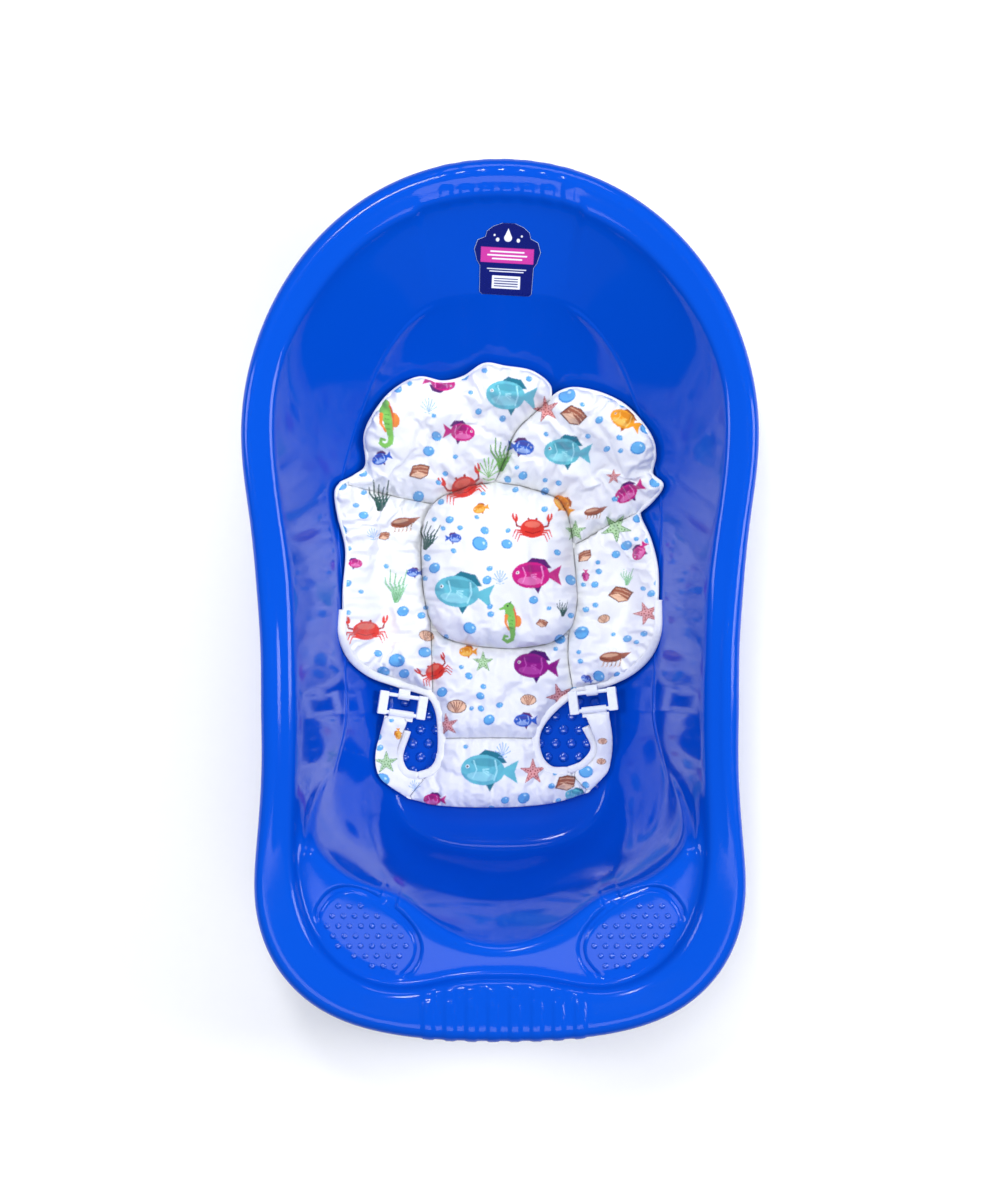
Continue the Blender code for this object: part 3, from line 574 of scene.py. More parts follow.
def make_tub(finish):
    angles, side = ray_angles(SECTORS)
    radius, height = profile_stations(angles)
    turn = np.radians(angles)
    east = side * np.sin(turn)
    north = np.cos(turn)

    def sheet(steps, offset):
        r, r_slope, place = spline_rings(radius, steps)
        z, z_slope, place = spline_rings(height, steps)
        size = np.hypot(r_slope, z_slope)
        r = r - offset * z_slope / size
        z = z + offset * r_slope / size
        x = r * east[:, None]
        y = CENTRE_Y + r * north[:, None]
        return x, y, z, np.broadcast_to(place, x.shape)

    x, y, z, place = sheet(RING_STEPS, 0.0)
    bumps = relief(x, y, place)
    upright = smooth_step(2.0, 4.5, place)
    z = z + bumps * upright
    x = x + bumps * (1.0 - upright) * east[:, None]
    y = y + bumps * (1.0 - upright) * north[:, None]
    top = np.stack((x, y, z), axis=2)
    x, y, z, place = sheet(UNDER_STEPS, WALL)
    under = np.stack((x, y, z), axis=2)
    sectors, rings = top.shape[:2]
    lower_rings = under.shape[1]
    points = np.concatenate((top.reshape(-1, 3), under.reshape(-1, 3),
                             [[0.0, CENTRE_Y, FLOOR_HEIGHT], [0.0, CENTRE_Y, 0.0]]))
    base = sectors * rings
    faces = []
    for i in range(sectors):
        j = (i + 1) % sectors
        for k in range(rings - 1):
            faces.append((i * rings + k, j * rings + k, j * rings + k + 1, i * rings + k + 1))
        for k in range(lower_rings - 1):
            a = base + i * lower_rings + k
            b = base + j * lower_rings + k
            faces.append((a, a + 1, b + 1, b))
        faces.append((i * rings, base + i * lower_rings, base + j * lower_rings, j * rings))
        faces.append((i * rings + rings - 1, j * rings + rings - 1, len(points) - 2))
        faces.append((base + j * lower_rings + lower_rings - 1,
                      base + i * lower_rings + lower_rings - 1, len(points) - 1))
    tub = mesh_piece("tub", points, faces, finish)
    builder = bmesh.new()
    builder.from_mesh(tub.data)
    bmesh.ops.recalc_face_normals(builder, faces=builder.faces)
    builder.to_mesh(tub.data)
    surface = BVHTree.FromBMesh(builder)
    builder.free()
    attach(tub, "tub")
    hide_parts("tub_shell")
    return surface


def ground(surface, x, y):
    hit = surface.ray_cast(Vector((x, y, 1.0)), Vector((0.0, 0.0, -1.0)))
    return hit[0].z


def add_domes(name, places, radius, height, finish):
    """Low round bumps in one mesh, each a closed lens."""
    builder = bmesh.new()
    for place in places:
        made = bmesh.ops.create_icosphere(builder, subdivisions=2, radius=1.0)
        for corner in made["verts"]:
            corner.co = corner.co * Vector((radius, radius, height)) + Vector(place)
    piece = mesh_piece(name, [], [], finish)
    builder.to_mesh(piece.data)
    builder.free()
    piece.data.shade_smooth()
    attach(piece, "tub")


def make_bumps(surface, finish):
    nubs = []
    for row, (first, count) in enumerate(NUB_ROWS):
        for k in range(count):
            for mirror in (1.0, -1.0):
                x = mirror * (first + k * NUB_PITCH)
                y = NUB_ROW_Y - row * NUB_ROW_PITCH
                nubs.append((x, y, ground(surface, x, y)))
    add_domes("soap_dish_nubs", nubs, NUB_RADIUS, NUB_HEIGHT, finish)
    bumps = []
    row_pitch = BUMP_PITCH * math.sqrt(0.75)
    for row in range(-14, 12):
        for k in range(-8, 9):
            x = (k + 0.5 * (row % 2)) * BUMP_PITCH
            y = CENTRE_Y + row * row_pitch
            angle = math.degrees(math.atan2(abs(x), y - CENTRE_Y))
            if math.hypot(x, y - CENTRE_Y) < floor_edge_at(angle) - 0.012 and y > BUMPS_FROM:
                bumps.append((x, y, FLOOR_HEIGHT))
    add_domes("floor_bumps", bumps, BUMP_RADIUS, BUMP_HEIGHT, finish)


# ---------------------------------------------------------- printed motifs
def linear(colour):
    """Linear light values of a display colour."""
    return np.power(np.array(colour), 2.2)


def oval(p, cx, cy, rx, ry, turn=0.0):
    c, s = math.cos(math.radians(turn)), math.sin(math.radians(turn))
    dx, dy = p[:, 0] - cx, p[:, 1] - cy
    u, v = (dx * c + dy * s) / rx, (-dx * s + dy * c) / ry
    size = np.hypot(u, v)
    slope = np.hypot(u / rx, v / ry) / np.maximum(size, 1e-6)
    return (size - 1.0) / np.maximum(slope, 1e-6)


def stroke(p, points, start, end):
    """Distance to a line of round dabs, start to end half-width."""
    if isinstance(points, str):
        points = points_of(points)
    best = np.full(len(p), np.inf)
    count = len(points) - 1
    for k, (a, b) in enumerate(zip(points, points[1:])):
        a, b = np.array(a), np.array(b)
        run = b - a
        t = np.clip(((p - a) @ run) / max(run @ run, 1e-9), 0.0, 1.0)
        wide = mix(start, end, (k + t) / count)
        best = np.minimum(best, np.linalg.norm(p - a - t[:, None] * run, axis=1) - wide)
    return best


def area(p, points):
    """Distance to a closed outline, negative inside."""
    if isinstance(points, str):
        points = points_of(points)
    inside = np.zeros(len(p), dtype=bool)
    for (ax, ay), (bx, by) in zip(points, points[1:] + points[:1]):
        crosses = (ay > p[:, 1]) != (by > p[:, 1])
        inside ^= crosses & (p[:, 0] < ax + (p[:, 1] - ay) * (bx - ax) / (by - ay + 1e-12))
    edge = stroke(p, points + points[:1], 0.0, 0.0)
    return np.where(inside, -edge, edge)


# Each motif yields distances and colours, in hundredths of its length.
def fish(p, body, dark, light):
    yield area(p, "22,3 50,20 44,0 50,-20 22,-3"), body
    yield area(p, "-26,18 -8,34 17,31 30,14 10,12"), dark
    yield area(p, "-8,-18 4,-36 14,-14"), dark
    yield oval(p, -10, 0, 37, 25.5), body
    yield oval(p, -6, 13, 25, 7), mix(body, dark, 0.4)
    yield oval(p, -12, -11, 24, 8), mix(body, light, 0.55)
    yield stroke(p, "-26,15 -20,0 -26,-14", 1, 1), light
    for y in (4, -1, -6):
        yield stroke(p, ((-10, 0.3 * y), (0, y - 2)), 0.6, 1.2), light
    yield stroke(p, "10,17 14,0 10,-16", 1.4, 1.4), light
    yield oval(p, -36, 5, 3, 3), WHITE
    yield oval(p, -36.5, 5, 1.7, 1.7), BLACK


def crab(p, body, dark, light):
    for side in (1, -1):
        q = p * (side, 1)
        for x, y in ((20, -5), (15, -10), (10, -15)):
            yield stroke(q, ((x, y), (x + 17, y + 2), (x + 23, y - 13)), 2.2, 0.8), body
        yield stroke(q, "20,2 34,6 37,17", 2, 1.8), dark
        yield oval(q, 38, 25, 10.5, 6, 70), body
        yield area(q, "38.5,21 42,38 36,38"), WHITE
        yield stroke(q, "7,12 9,20", 1, 1), dark
        yield oval(q, 9, 21, 2.6, 2.6), dark
    yield oval(p, 0, 0, 26, 20.5), body
    yield oval(p, 0, 9, 17, 7), mix(body, light, 0.4)
    yield stroke(p, "-17,-6 0,-11 17,-6", 0.8, 0.8), dark


def star(p, body, dark, light):
    turns = np.radians(90 + 72 * np.arange(5))
    arms = list(zip(np.cos(turns), np.sin(turns)))
    for x, y in arms:
        yield stroke(p, ((0, 0), (50 * x, 50 * y)), 17, 1.5), dark
    for x, y in arms:
        yield stroke(p, ((0, 0), (47 * x, 47 * y)), 14.5, 0.4), mix(body, 1.0, 0.35)
    for x, y in arms:
        for reach in (10, 20, 30):
            yield oval(p, reach * x, reach * y, 2.8, 2.8), dark


def horse(p, body, dark, light):
    yield oval(p, 19, 4, 10.5, 14, 10), light
    yield stroke(p, "7,36 13,20 15,2 12,-18 10,-30", 6, 2.2), mix(light, FIN_RED, 0.55)
    yield stroke(p, "2,24 7,6 8,-12 10,-28", 10.5, 5.5), body
    yield stroke(p, "10,-26 8,-38 -2,-44 -11,-38 -9,-30 -2,-32", 5.6, 2.2), body
    yield stroke(p, "-5,16 -7,0 1,-16", 4, 2), light
    yield oval(p, 0, 36, 12, 10), body
    yield stroke(p, "-5,35 -20,31", 4, 2.2), body
    yield stroke(p, "2,44 6,49", 2, 0.8), dark
    yield oval(p, -2, 38.5, 2, 2), BLACK
    for y in (16, 7, -2, -11):
        yield stroke(p, ((2, y), (10, y - 2)), 0.6, 0.6), dark


def cone(p, body, dark, light):
    outline = "-48,-18 -30,30 10,38 46,30 38,-12 5,-30"
    yield area(p, outline), dark
    yield 0.9 * area(p / 0.9, outline), body
    yield area(p, "-40,-15 -10,5 36,-8 5,-26"), light
    for y in (22, 6, -10):
        yield stroke(p, ((-26, y), (5, y + 4), (36, y)), 1.8, 1.8), mix(light, body, 0.3)


def shell(p, body, dark, light):
    yield oval(p, 0, 0, 50, 34), dark
    yield oval(p, 0, 0, 46, 30), light
    for x in (-30, -15, 0, 15, 30):
        yield stroke(p, ((0.2 * x, -27), (x, 24 - 0.006 * x * x)), 1.2, 3), body


def hermit(p, body, dark, light):
    for x in (-26, -14, -2, 10, 22):
        yield stroke(p, ((x, 0), (x - 5, -20), (x - 10, -24)), 2, 0.8), light
        yield stroke(p, ((x, 0), (x - 5, -21)), 0.8, 0.6), dark
    yield area(p, "10,16 50,20 30,2 8,-4"), body
    yield oval(p, -8, 5, 34, 15, 6), body
    yield oval(p, -10, 10, 24, 5, 6), mix(body, light, 0.6)
    yield stroke(p, "-40,2 5,-8 30,4", 1, 1), dark


def weed(p, body, dark, light):
    for lean, tall in ((-34, 30), (-17, 52), (0, 41), (17, 30), (34, 52)):
        fork = (0.5 * lean + 5, -15)
        stem = ((0.1 * lean, -45), fork, (0.8 * lean - 5, 10), (lean, tall))
        yield stroke(p, stem, 4.5, 1.6), dark
        yield stroke(p, stem, 2.5, 0.6), body
        yield stroke(p, (fork, (fork[0] + 13, 8)), 2.5, 1), body


def fan(p, body, dark, light):
    for turn in np.radians(20 + 23.3 * np.arange(7)):
        tip = (50 * math.cos(turn), -30 + 75 * math.sin(turn))
        yield stroke(p, ((0, -35), tip), 1.2, 3), body
    yield stroke(p, "-25,-40 0,-46 25,-40", 2, 2), body


def bubble(p, body, dark, light):
    yield oval(p, 0, 0, 50, 42), dark
    yield oval(p, 3, 3, 44, 36), body
    yield oval(p, 20, 14, 10, 7, -30), light


DRAWN = {f.__name__: f for f in (fish, crab, star, horse, cone, shell, hermit, weed, fan, bubble)}


def all_motifs():
    """The placed motifs, then seeded bubbles in the space between them."""
    placed = []
    for row in MOTIFS.split(";"):
        kind, x, y, size, turn, ink = row.split()
        placed.append((kind, 0.001 * int(x), 0.001 * int(y), 0.001 * int(size), int(turn), ink))
    taken = [(x, y, 0.33 * abs(size)) for kind, x, y, size, turn, ink in placed]
    draw = np.random.default_rng(7)
    for attempt in range(BUBBLES):
        x, y = draw.uniform(-0.17, 0.17), draw.uniform(-0.23, 0.25)
        size = 0.005 + 0.0135 * draw.uniform() ** 2.0
        turn = draw.uniform(-40, 40)
        if all(math.hypot(x - a, y - b) > r + 0.5 * size + 0.0015 for a, b, r in taken):
            taken.append((x, y, 0.5 * size))
            placed.append(("bubble", x, y, size, turn, "bubble"))
    return placed


def paint(points, motifs, base):
    """Colours of the print at each point, seen from above."""
    colour = np.tile(linear(base), (len(points), 1))
    for kind, x, y, size, turn, ink_name in motifs:
        near = np.flatnonzero(np.maximum(abs(points[:, 0] - x), abs(points[:, 1] - y))
                              < 0.75 * abs(size))
        if not len(near):
            continue
        c, s = math.cos(math.radians(turn)), math.sin(math.radians(turn))
        d = points[near, :2] - (x, y)
        local = 100.0 * np.stack(((d[:, 0] * c + d[:, 1] * s) / size,
                                  (-d[:, 0] * s + d[:, 1] * c) / abs(size)), axis=1)
        ink = [linear(i) for i in points_of(INKS[ink_name])]
        for distance, shade in DRAWN[kind](local, *ink):
            off = distance * abs(size) / 100.0
            cover = smooth_step(PRINT_BLUR, -PRINT_BLUR, off)[:, None]
            colour[near] = mix(colour[near], np.array(shade), cover)
    return colour


def store_print(piece, colour):
    layer = piece.data.color_attributes.new("print", "FLOAT_COLOR", "POINT")
    rgba = np.ones((len(colour), 4))
    rgba[:, :3] = colour
    layer.data.foreach_set("color", rgba.ravel())


def vertices(piece):
    flat = np.empty(3 * len(piece.data.vertices))
    piece.data.vertices.foreach_get("co", flat)
    return flat.reshape(-1, 3)


# ------------------------------------------------------------------ cloth
def smooth_line(points, closed=False, step=0.0035):
    """A Catmull-Rom line through the points, at about one spacing."""
    points = [Vector(p) for p in points]
    if closed:
        ring = [points[-1]] + points + points[:2]
    else:
        ring = [points[0] * 2 - points[1]] + points + [points[-1] * 2 - points[-2]]
    line = []
    marks = []
    for a, b, c, d in zip(ring, ring[1:], ring[2:], ring[3:]):
        count = max(1, round((c - b).length / step))
        marks.append(len(line))
        for k in range(count):
            t = k / count
            line.append(0.5 * ((2 * b) + (c - a) * t + (2 * a - 5 * b + 4 * c - d) * t ** 2
                               + (3 * b - a - 3 * c + d) * t ** 3))
    if not closed:
        line.append(points[-1])
    return line, marks


def outline_of(text):
    """A pad's closed line from its parts, each ending where the next begins."""
    pillow, marks = smooth_line(points_of(PILLOW_EDGE, 1000.0), closed=True)
    line = []
    for word in text.split():
        name, *ends = word.lstrip("-").split(":")
        if ends:
            start, end = (marks[int(k)] for k in ends)
            end += len(pillow) if end <= start else 0
            part = (pillow + pillow)[start:end + 1]
        else:
            part = smooth_line(points_of(LINES[name], 1000.0))[0]
        line += (part[::-1] if word[0] == "-" else part)[:-1]
    return line


def even_cells(line, cell):
    """Places of a triangular lattice inside a closed line, clear of it."""
    edge = np.array([tuple(p) for p in line])
    low = edge.min(axis=0)
    high = edge.max(axis=0)
    spots = []
    row_step = cell * math.sqrt(0.75)
    for row in range(int(low[1] / row_step) - 1, int(high[1] / row_step) + 2):
        for k in range(int(low[0] / cell) - 1, int(high[0] / cell) + 2):
            spots.append(((k + 0.5 * (row % 2)) * cell, row * row_step))
    spots = np.array(spots)
    distance = area(spots, [tuple(p) for p in edge])
    return spots[distance < -0.6 * cell]


def flat_mesh(line, cell):
    """Triangles filling a closed line; its own points come first."""
    inner = even_cells(line, cell)
    spots = [Vector(p) for p in line] + [Vector(p) for p in inner]
    loop = list(range(len(line)))
    edges = list(zip(loop, loop[1:] + loop[:1]))
    made = delaunay_2d_cdt(spots, edges, [], 1, 1e-7)
    points = np.array([tuple(p) for p in made[0]])
    return points, [tuple(f) for f in made[2]]


def inflate(points, faces, pinned, pressure, excess, cap):
    """Blow up a sheet held at its pinned points and return its new points."""
    sheet = mesh_piece("cloth_in_work", points, faces, None)
    hold = sheet.vertex_groups.new(name="hold")
    hold.add([int(i) for i in pinned], 1.0, "REPLACE")
    cloth = sheet.modifiers.new("cloth", "CLOTH")
    settings = cloth.settings
    for key, value in CLOTH.items():
        setattr(settings, key, value)
    settings.uniform_pressure_force = pressure
    settings.shrink_min = -excess
    settings.effector_weights.gravity = 0.0
    cloth.collision_settings.use_collision = False
    cloth.collision_settings.use_self_collision = False
    cloth.point_cache.frame_start = 1
    cloth.point_cache.frame_end = CLOTH_FRAMES
    for moment in range(1, CLOTH_FRAMES + 1):
        bpy.context.scene.frame_set(moment)
    apply_modifiers(sheet)
    moved = vertices(sheet) - points
    bpy.data.objects.remove(sheet, do_unlink=True)
    bpy.context.scene.frame_set(1)
    far = np.linalg.norm(moved, axis=1)
    return points + moved * np.minimum(1.0, cap / np.maximum(far, 1e-9))[:, None]


def wave(x, y, seed):
    """A smooth uneven field of about -1 to 1, from a few crossed waves."""
    draw = np.random.default_rng(seed)
    total = np.zeros_like(x)
    for k in range(7):
        turn = draw.uniform(0, math.pi)
        pitch = draw.uniform(0.018, 0.05)
        phase = draw.uniform(0, 2 * math.pi)
        total += np.sin((x * math.cos(turn) + y * math.sin(turn)) * 2 * math.pi / pitch + phase)
    return total / 4.0


def add_pad(name, line, thickness, seam, under, finish, motifs, settings, seed):
    """A stuffed pad over a closed line: a blown-up top sheet on a flat back."""
    pressure, excess, cap, roundness, pucker = settings
    points, faces = flat_mesh(line, CELL)
    count = len(points)
    edge = np.array([tuple(p) for p in line])
    rim = len(edge)
    nearest = np.linalg.norm(points[:, None, :] - edge[None, :, :], axis=2).argmin(axis=1)
    distance = np.maximum(-area(points, [tuple(p) for p in edge]), 0.0)
    distance[:rim] = 0.0
    base = np.array([under(x, y) for x, y in points])
    reach = min(roundness, distance.max())
    t = np.clip(distance / reach, 0.0, 1.0)
    crown = (1.0 - (1.0 - t) ** 2) ** 0.7
    along = np.concatenate(([0.0], np.cumsum(np.linalg.norm(np.diff(edge, axis=0), axis=1))))
    place = along[nearest]
    draw = np.random.default_rng(seed)
    pleat = np.zeros(count)
    for pitch in GATHER_PITCHES:
        pleat += np.sin(2 * math.pi * place / pitch + draw.uniform(0, 6.28)
                        + 1.5 * np.sin(2 * math.pi * place / 0.071 + draw.uniform(0, 6.28)))
    fade = np.exp(-distance / GATHER_REACH) * (1.0 - np.exp(-4.0 * distance / GATHER_REACH))
    height = seam + START_FULLNESS * (thickness - seam) * crown
    height += pucker * (0.9 * pleat * fade + 0.55 * wave(points[:, 0], points[:, 1], seed) * t)
    top = np.column_stack((points, base + height))
    if pressure:
        top = inflate(top, faces, range(rim), pressure, excess, cap)
    lowest = base + 0.6 * seam
    top[rim:, 2] = np.maximum(top[rim:, 2], lowest[rim:])
    back = np.column_stack((points, base + seam * np.exp(-distance / 0.006)))
    stitched = np.concatenate((top, back[rim:]))
    lower = [tuple(i if i < rim else i + count - rim for i in face[::-1]) for face in faces]
    pad = mesh_piece(name, stitched, faces + lower, finish)
    sharp = pad.data.attributes.new("crease_edge", "FLOAT", "EDGE")
    for k, side in enumerate(pad.data.edges):
        a, b = side.vertices
        sharp.data[k].value = 1.0 if max(a, b) < rim and (b - a) % rim in (1, rim - 1) else 0.0
    fine = pad.modifiers.new("fine", "SUBSURF")
    fine.levels = fine.render_levels = 2
    apply_modifiers(pad)
    pad.data.shade_smooth()
    spots = vertices(pad)
    store_print(pad, paint(spots, motifs, CLOTH_WHITE))
    if name in STRAP_BENDS:
        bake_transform(pad)
    else:
        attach(pad, "support")
    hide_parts(name)


def add_tape(name, spots, half_width, half_height, finish, follow):
    """A flattened tube along the spots, lying flat, with small gathers."""
    line = smooth_line(spots, step=0.0018)[0]
    around = 12
    points = []
    faces = []
    count = len(line)
    for k, spot in enumerate(line):
        ahead = line[min(k + 1, count - 1)] - line[max(k - 1, 0)]
        side = Vector((ahead.y, -ahead.x, 0.0)).normalized()
        lift = side.cross(ahead.normalized())
        gather = 1.0 + 0.1 * math.sin(k * 1.9) + 0.06 * math.sin(k * 0.63)
        for j in range(around):
            turn = 2 * math.pi * j / around
            points.append(spot + side * (half_width * math.cos(turn))
                          + lift * (half_height * gather * math.sin(turn)))
    for k in range(count - 1):
        for j in range(around):
            a, b = k * around + j, k * around + (j + 1) % around
            faces.append((a, b, b + around, a + around))
    faces.append(tuple(range(around))[::-1])
    faces.append(tuple(range((count - 1) * around, count * around)))
    tape = mesh_piece(name, points, faces, finish)
    if follow in STRAP_BENDS:
        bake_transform(tape)
    else:
        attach(tape, follow)
    return tape


def sticker(p, navy, white, pink):
    """A plain drop over a band and plain rules, in hundredths of the length."""
    yield area(p, "-5,32.5 0,43 5,32.5"), white
    yield oval(p, 0, 30, 6, 5.2), white
    for x, y, r in ((-16, 27, 2.6), (-21, 33, 1.5), (16, 27, 2.6), (21, 33, 1.5)):
        yield oval(p, x, y, r, r), white
    yield area(p, "-41,-5 -41,16 41,16 41,-5"), pink
    for half, y in ((25.5, 10.5), (30, 5.5), (22.5, 0.5)):
        yield stroke(p, ((-half, y), (half, y)), 1, 1), white
    for half, y in ((30, -13.5), (26, -17)):
        yield stroke(p, ((-half, y), (half, y)), 0.6, 0.6), white
    yield area(p, "-22,-23 22,-23 22,-41 -22,-41"), white
    for y in (-27, -30.5, -34, -37.5):
        yield stroke(p, ((-18, y), (18, y)), 0.8, 0.8), navy


def make_label(surface, finish):
    """The sticker: a thin film that follows the head wall."""
    turn = math.radians(-LABEL_TURN)
    middle_y = 0.5 * (LABEL_FROM + LABEL_TO)
    length = LABEL_TO - LABEL_FROM
    shares = np.linspace(0.0, 1.0, LABEL_ROWS + 1)
    at, wide = np.array(points_of(LABEL_SHAPE)).T
    halves = np.interp(shares, at, wide / 1000.0)
    flat = []
    points = []
    for share, half in zip(shares, halves):
        for k in range(LABEL_COLUMNS + 1):
            across = half * (2.0 * k / LABEL_COLUMNS - 1.0)
            along = (share - 0.5) * length
            x = LABEL_X + across * math.cos(turn) - along * math.sin(turn)
            y = middle_y + across * math.sin(turn) + along * math.cos(turn)
            flat.append((across, along))
            points.append((x, y, ground(surface, x, y) + LABEL_LIFT))
    row = LABEL_COLUMNS + 1
    faces = [(i * row + k, i * row + k + 1, (i + 1) * row + k + 1, (i + 1) * row + k)
             for i in range(LABEL_ROWS) for k in range(LABEL_COLUMNS)]
    label = mesh_piece("label_film", points, faces, finish)
    flat = np.array(flat)
    colour = np.tile(linear(STICKER_INK[0]), (len(flat), 1))
    inks = [linear(i) for i in STICKER_INK]
    for distance, shade in sticker(100.0 * flat / length, *inks):
        cover = smooth_step(0.0002, -0.0002, distance * length / 100.0)[:, None]
        colour = mix(colour, np.array(shade), cover)
    edge = np.array([min(k % row, row - 1 - k % row) for k in range(len(flat))])
    colour[edge < 1] = linear((0.8, 0.86, 0.95))
    store_print(label, colour)
    film = label.modifiers.new("film", "SOLIDIFY")
    film.thickness = 0.0004
    film.offset = 1.0
    apply_modifiers(label)
    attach(label, "tub")
    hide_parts("label_sticker")


def sticker_film():
    n = Nodes("sticker_film")
    ink = n.add("VertexColor", layer_name="print").outputs["Color"]
    fade = n.ramp(n.noise(120.0, 3.0), 0.94, 1.05)
    n.connect(n.scale(ink, fade), "Base Color")
    n.connect(n.ramp(n.noise(300.0), 0.22, 0.34), "Roughness")
    n.connect(n.bump(n.noise(160.0), 0.0003, 0.3), "Normal")
    return n.material


def make_support(surface, cloth, tape_finish):
    def lying(x, y):
        return ground(surface, x, y) + CLEARANCE

    def to_clip(x, y):
        t = float(smooth_step(STRAP_RAMP_START, STRAP_RAMP_END, y))
        return max(lying(x, y), mix(lying(0.0, y), CLIP_HEIGHT - 0.003, t))

    motifs = all_motifs()
    for seed, (name, parts, top, seam, stuffing) in enumerate(PADS):
        under = to_clip if stuffing == "strap" else lying
        add_pad(name, outline_of(parts), top / 1000.0, seam / 1000.0, under, cloth, motifs,
                STUFFING[stuffing], seed + 11)
    for side, hand in (("left", 1.0), ("right", -1.0)):
        route = points_of(LINES["binding_" + side], 1000.0)
        spots = []
        for k, (x, y, rise) in enumerate(route):
            ahead = Vector(route[min(k + 1, len(route) - 1)]) - Vector(route[max(k - 1, 0)])
            to_pad = hand * BINDING_SHIFT * Vector((-ahead.y, ahead.x)).normalized()
            x, y = x + to_pad.x, y + to_pad.y
            spots.append((x, y, ground(surface, x, y) + rise))
        lower = add_tape("binding_edge_" + side, spots[:BINDING_STRAP_KNOT + 1],
                         BINDING_HALF_WIDTH, BINDING_HALF_HEIGHT, tape_finish, "support")
        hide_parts("binding_" + side)
        add_tape("binding_strap_" + side, spots[BINDING_STRAP_KNOT:], BINDING_HALF_WIDTH,
                 BINDING_HALF_HEIGHT, tape_finish, "leg_strap_" + side)
    for place, first, last in (("upper_left", 0, None), ("upper_right", 0, None),
                               ("left", 4, None), ("right", 0, 6)):
        edge = points_of(LINES["edge_" + place], 1000.0)[first:last]
        spots = [(x, y, lying(x, y) + SEAM_HEIGHT) for x, y in edge]
        add_tape("edge_tape_" + place, spots, EDGE_TAPE_HALF_WIDTH, EDGE_TAPE_HALF_HEIGHT,
                 tape_finish, "support")


def printed_cloth():
    """White brushed cotton with the painted print, a fine weave and a soft nap."""
    n = Nodes("printed_fabric")
    ink = n.add("VertexColor", layer_name="print").outputs["Color"]
    return finish_cloth(n, ink)


def plain_cloth(name, colour):
    n = Nodes(name)
    patch = n.noise(90.0, 3.0)
    low = tuple(0.93 * c for c in colour)
    return finish_cloth(n, n.blend(patch, low, colour))


def finish_cloth(n, colour):
    fibre = n.noise(1500.0)
    n.connect(n.scale(colour, n.ramp(fibre, 0.9, 1.04)), "Base Color")
    threads = [n.add("TexWave", {"Vector": n.where, "Scale": 700.0, "Distortion": 1.5},
                     bands_direction=axis).outputs["Fac"] for axis in "XY"]
    weave = n.add("Math", {0: threads[0], 1: threads[1]}, operation="MAXIMUM").outputs[0]
    crumple = n.noise(75.0, 4.0)
    soft = n.bump(crumple, 0.0016, 0.5)
    nap = n.bump(fibre, 0.0003, 0.5, soft)
    n.connect(n.bump(weave, 0.00025, 0.45, nap), "Normal")
    n.connect(n.ramp(n.noise(300.0), 0.82, 0.96), "Roughness")
    n.set(Sheen_Weight=0.25, Sheen_Roughness=0.5, Subsurface_Weight=0.0, Specular_IOR_Level=0.2)
    return n.material


def white_plastic():
    n = Nodes("white_plastic")
    cloud = n.noise(70.0)
    n.connect(n.blend(cloud, (0.8, 0.83, 0.88), (0.86, 0.88, 0.92)), "Base Color")
    n.connect(n.ramp(n.noise(250.0, 3.0), 0.22, 0.34), "Roughness")
    n.connect(n.bump(n.noise(500.0), 0.0001, 0.3), "Normal")
    n.set(IOR=1.46)
    return n.material


# ------------------------------------------------------ stage and camera
def make_stage():
    corners = ((-4, -4, 0), (4, -4, 0), (4, 4, 0), (-4, 4, 0))
    floor = mesh_piece("stage_floor", corners, [(0, 1, 2, 3)], stage_paper())
    floor.location = (0.0, 0.0, -0.0005)


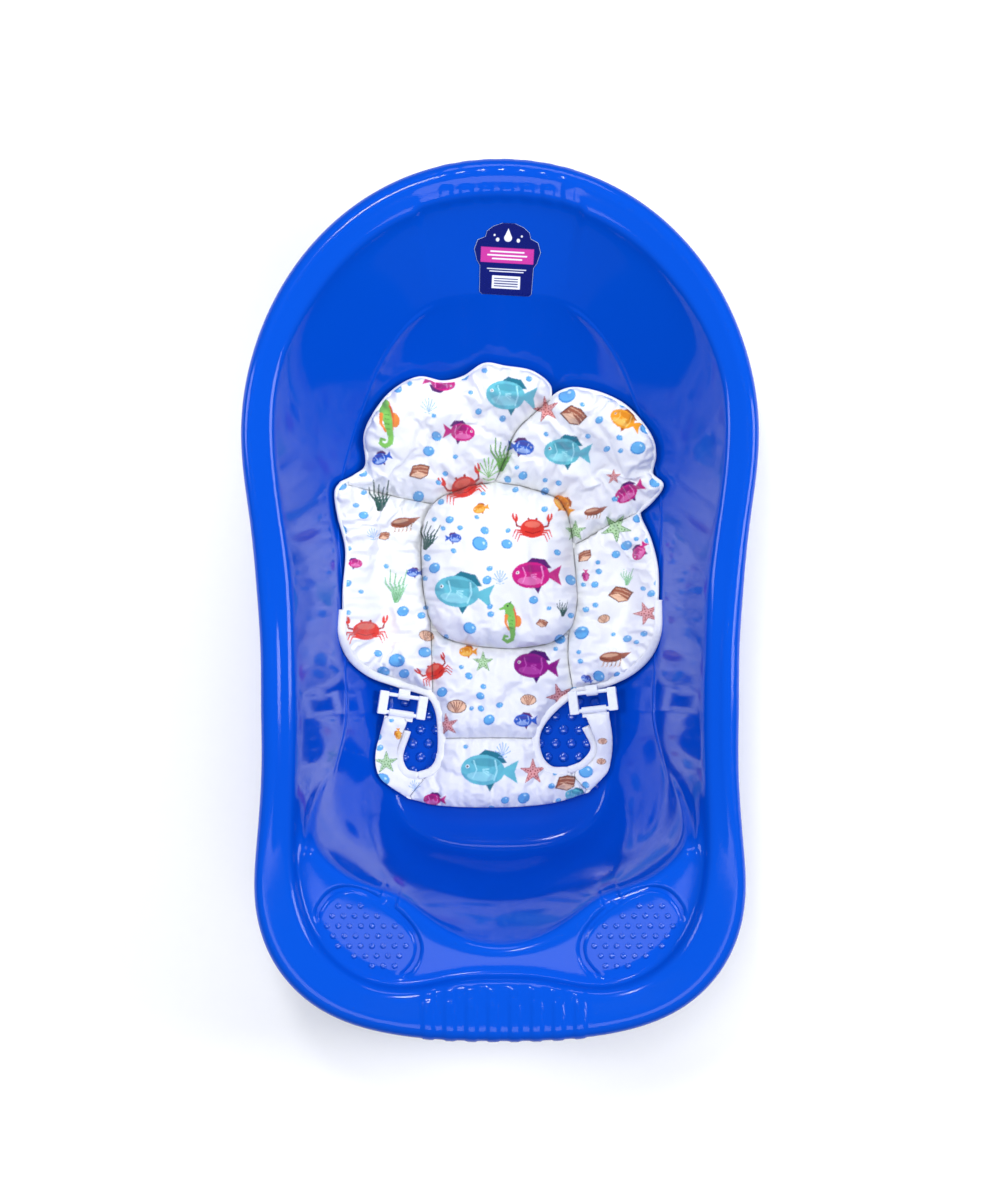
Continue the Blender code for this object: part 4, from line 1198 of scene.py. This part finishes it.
def make_lights():
    world = bpy.data.worlds.new("studio")
    world.use_nodes = True
    world.node_tree.nodes["Background"].inputs["Color"].default_value = (0.78, 0.88, 1.0, 1.0)
    world.node_tree.nodes["Background"].inputs["Strength"].default_value = 0.23
    bpy.context.scene.world = world
    middle = (0.0, 0.0, 0.1)
    for name, place, target, size, power in (
            ("left_softbox", (-2.1, 0.5, 2.0), middle, (0.7, 1.3), 32.0),
            ("right_softbox", (2.1, 0.2, 2.0), middle, (0.8, 1.5), 52.0),
            ("head_softbox", (0.2, 2.3, 2.1), middle, (1.4, 0.8), 20.0),
            ("foot_softbox", (0.0, -0.9, 2.75), (0.0, -0.36, 0.2), (1.5, 0.7), 15.0),
            ("head_spot", (-0.3, 0.95, 3.0), middle, (0.3, 0.3), 15.0),
            ("overhead_softbox", (-0.15, 0.25, 3.2), middle, (0.6, 0.6), 24.0)):
        lamp = bpy.data.lights.new(name, "AREA")
        lamp.shape = "RECTANGLE"
        lamp.size, lamp.size_y = size
        lamp.energy = power
        made = bpy.data.objects.new(name, lamp)
        made.location = place
        made.rotation_euler = (Vector(target) - Vector(place)).to_track_quat("-Z", "Y").to_euler()
        made.visible_glossy = name != "overhead_softbox"   # it would glare on the floor
        bpy.context.scene.collection.objects.link(made)


def make_camera():
    lens = bpy.data.cameras.new("camera")
    lens.sensor_fit = "VERTICAL"
    lens.sensor_height = 36.0
    lens.lens = 36.0 * (CAMERA_HEIGHT - RIM_HEIGHT) / FRAME_LENGTH
    camera = bpy.data.objects.new("camera", lens)
    camera.location = (0.0, 0.0, CAMERA_HEIGHT)
    bpy.context.scene.collection.objects.link(camera)
    bpy.context.scene.camera = camera
    bpy.context.scene.view_settings.view_transform = "Standard"


def main():
    make_camera()
    make_stage()
    make_lights()
    blue = blue_plastic("blue_plastic", SHELL_IOR)
    polished = blue_plastic("blue_plastic_polished", NUB_IOR)
    surface = make_tub(blue)
    make_bumps(surface, polished)
    make_label(surface, sticker_film())
    make_support(surface, printed_cloth(), plain_cloth("binding_tape", (0.93, 0.94, 0.97)))
    white = white_plastic()
    plain = plain_cloth("plain_cloth", (0.88, 0.9, 0.94))
    for node, finish in (("strap_clip_left", white), ("strap_clip_right", white),
                         ("strap_loop_left", plain), ("strap_loop_right", plain),
                         ("clip_tab_left", plain), ("clip_tab_right", plain)):
        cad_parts[node].material_slots[0].material = finish


main()
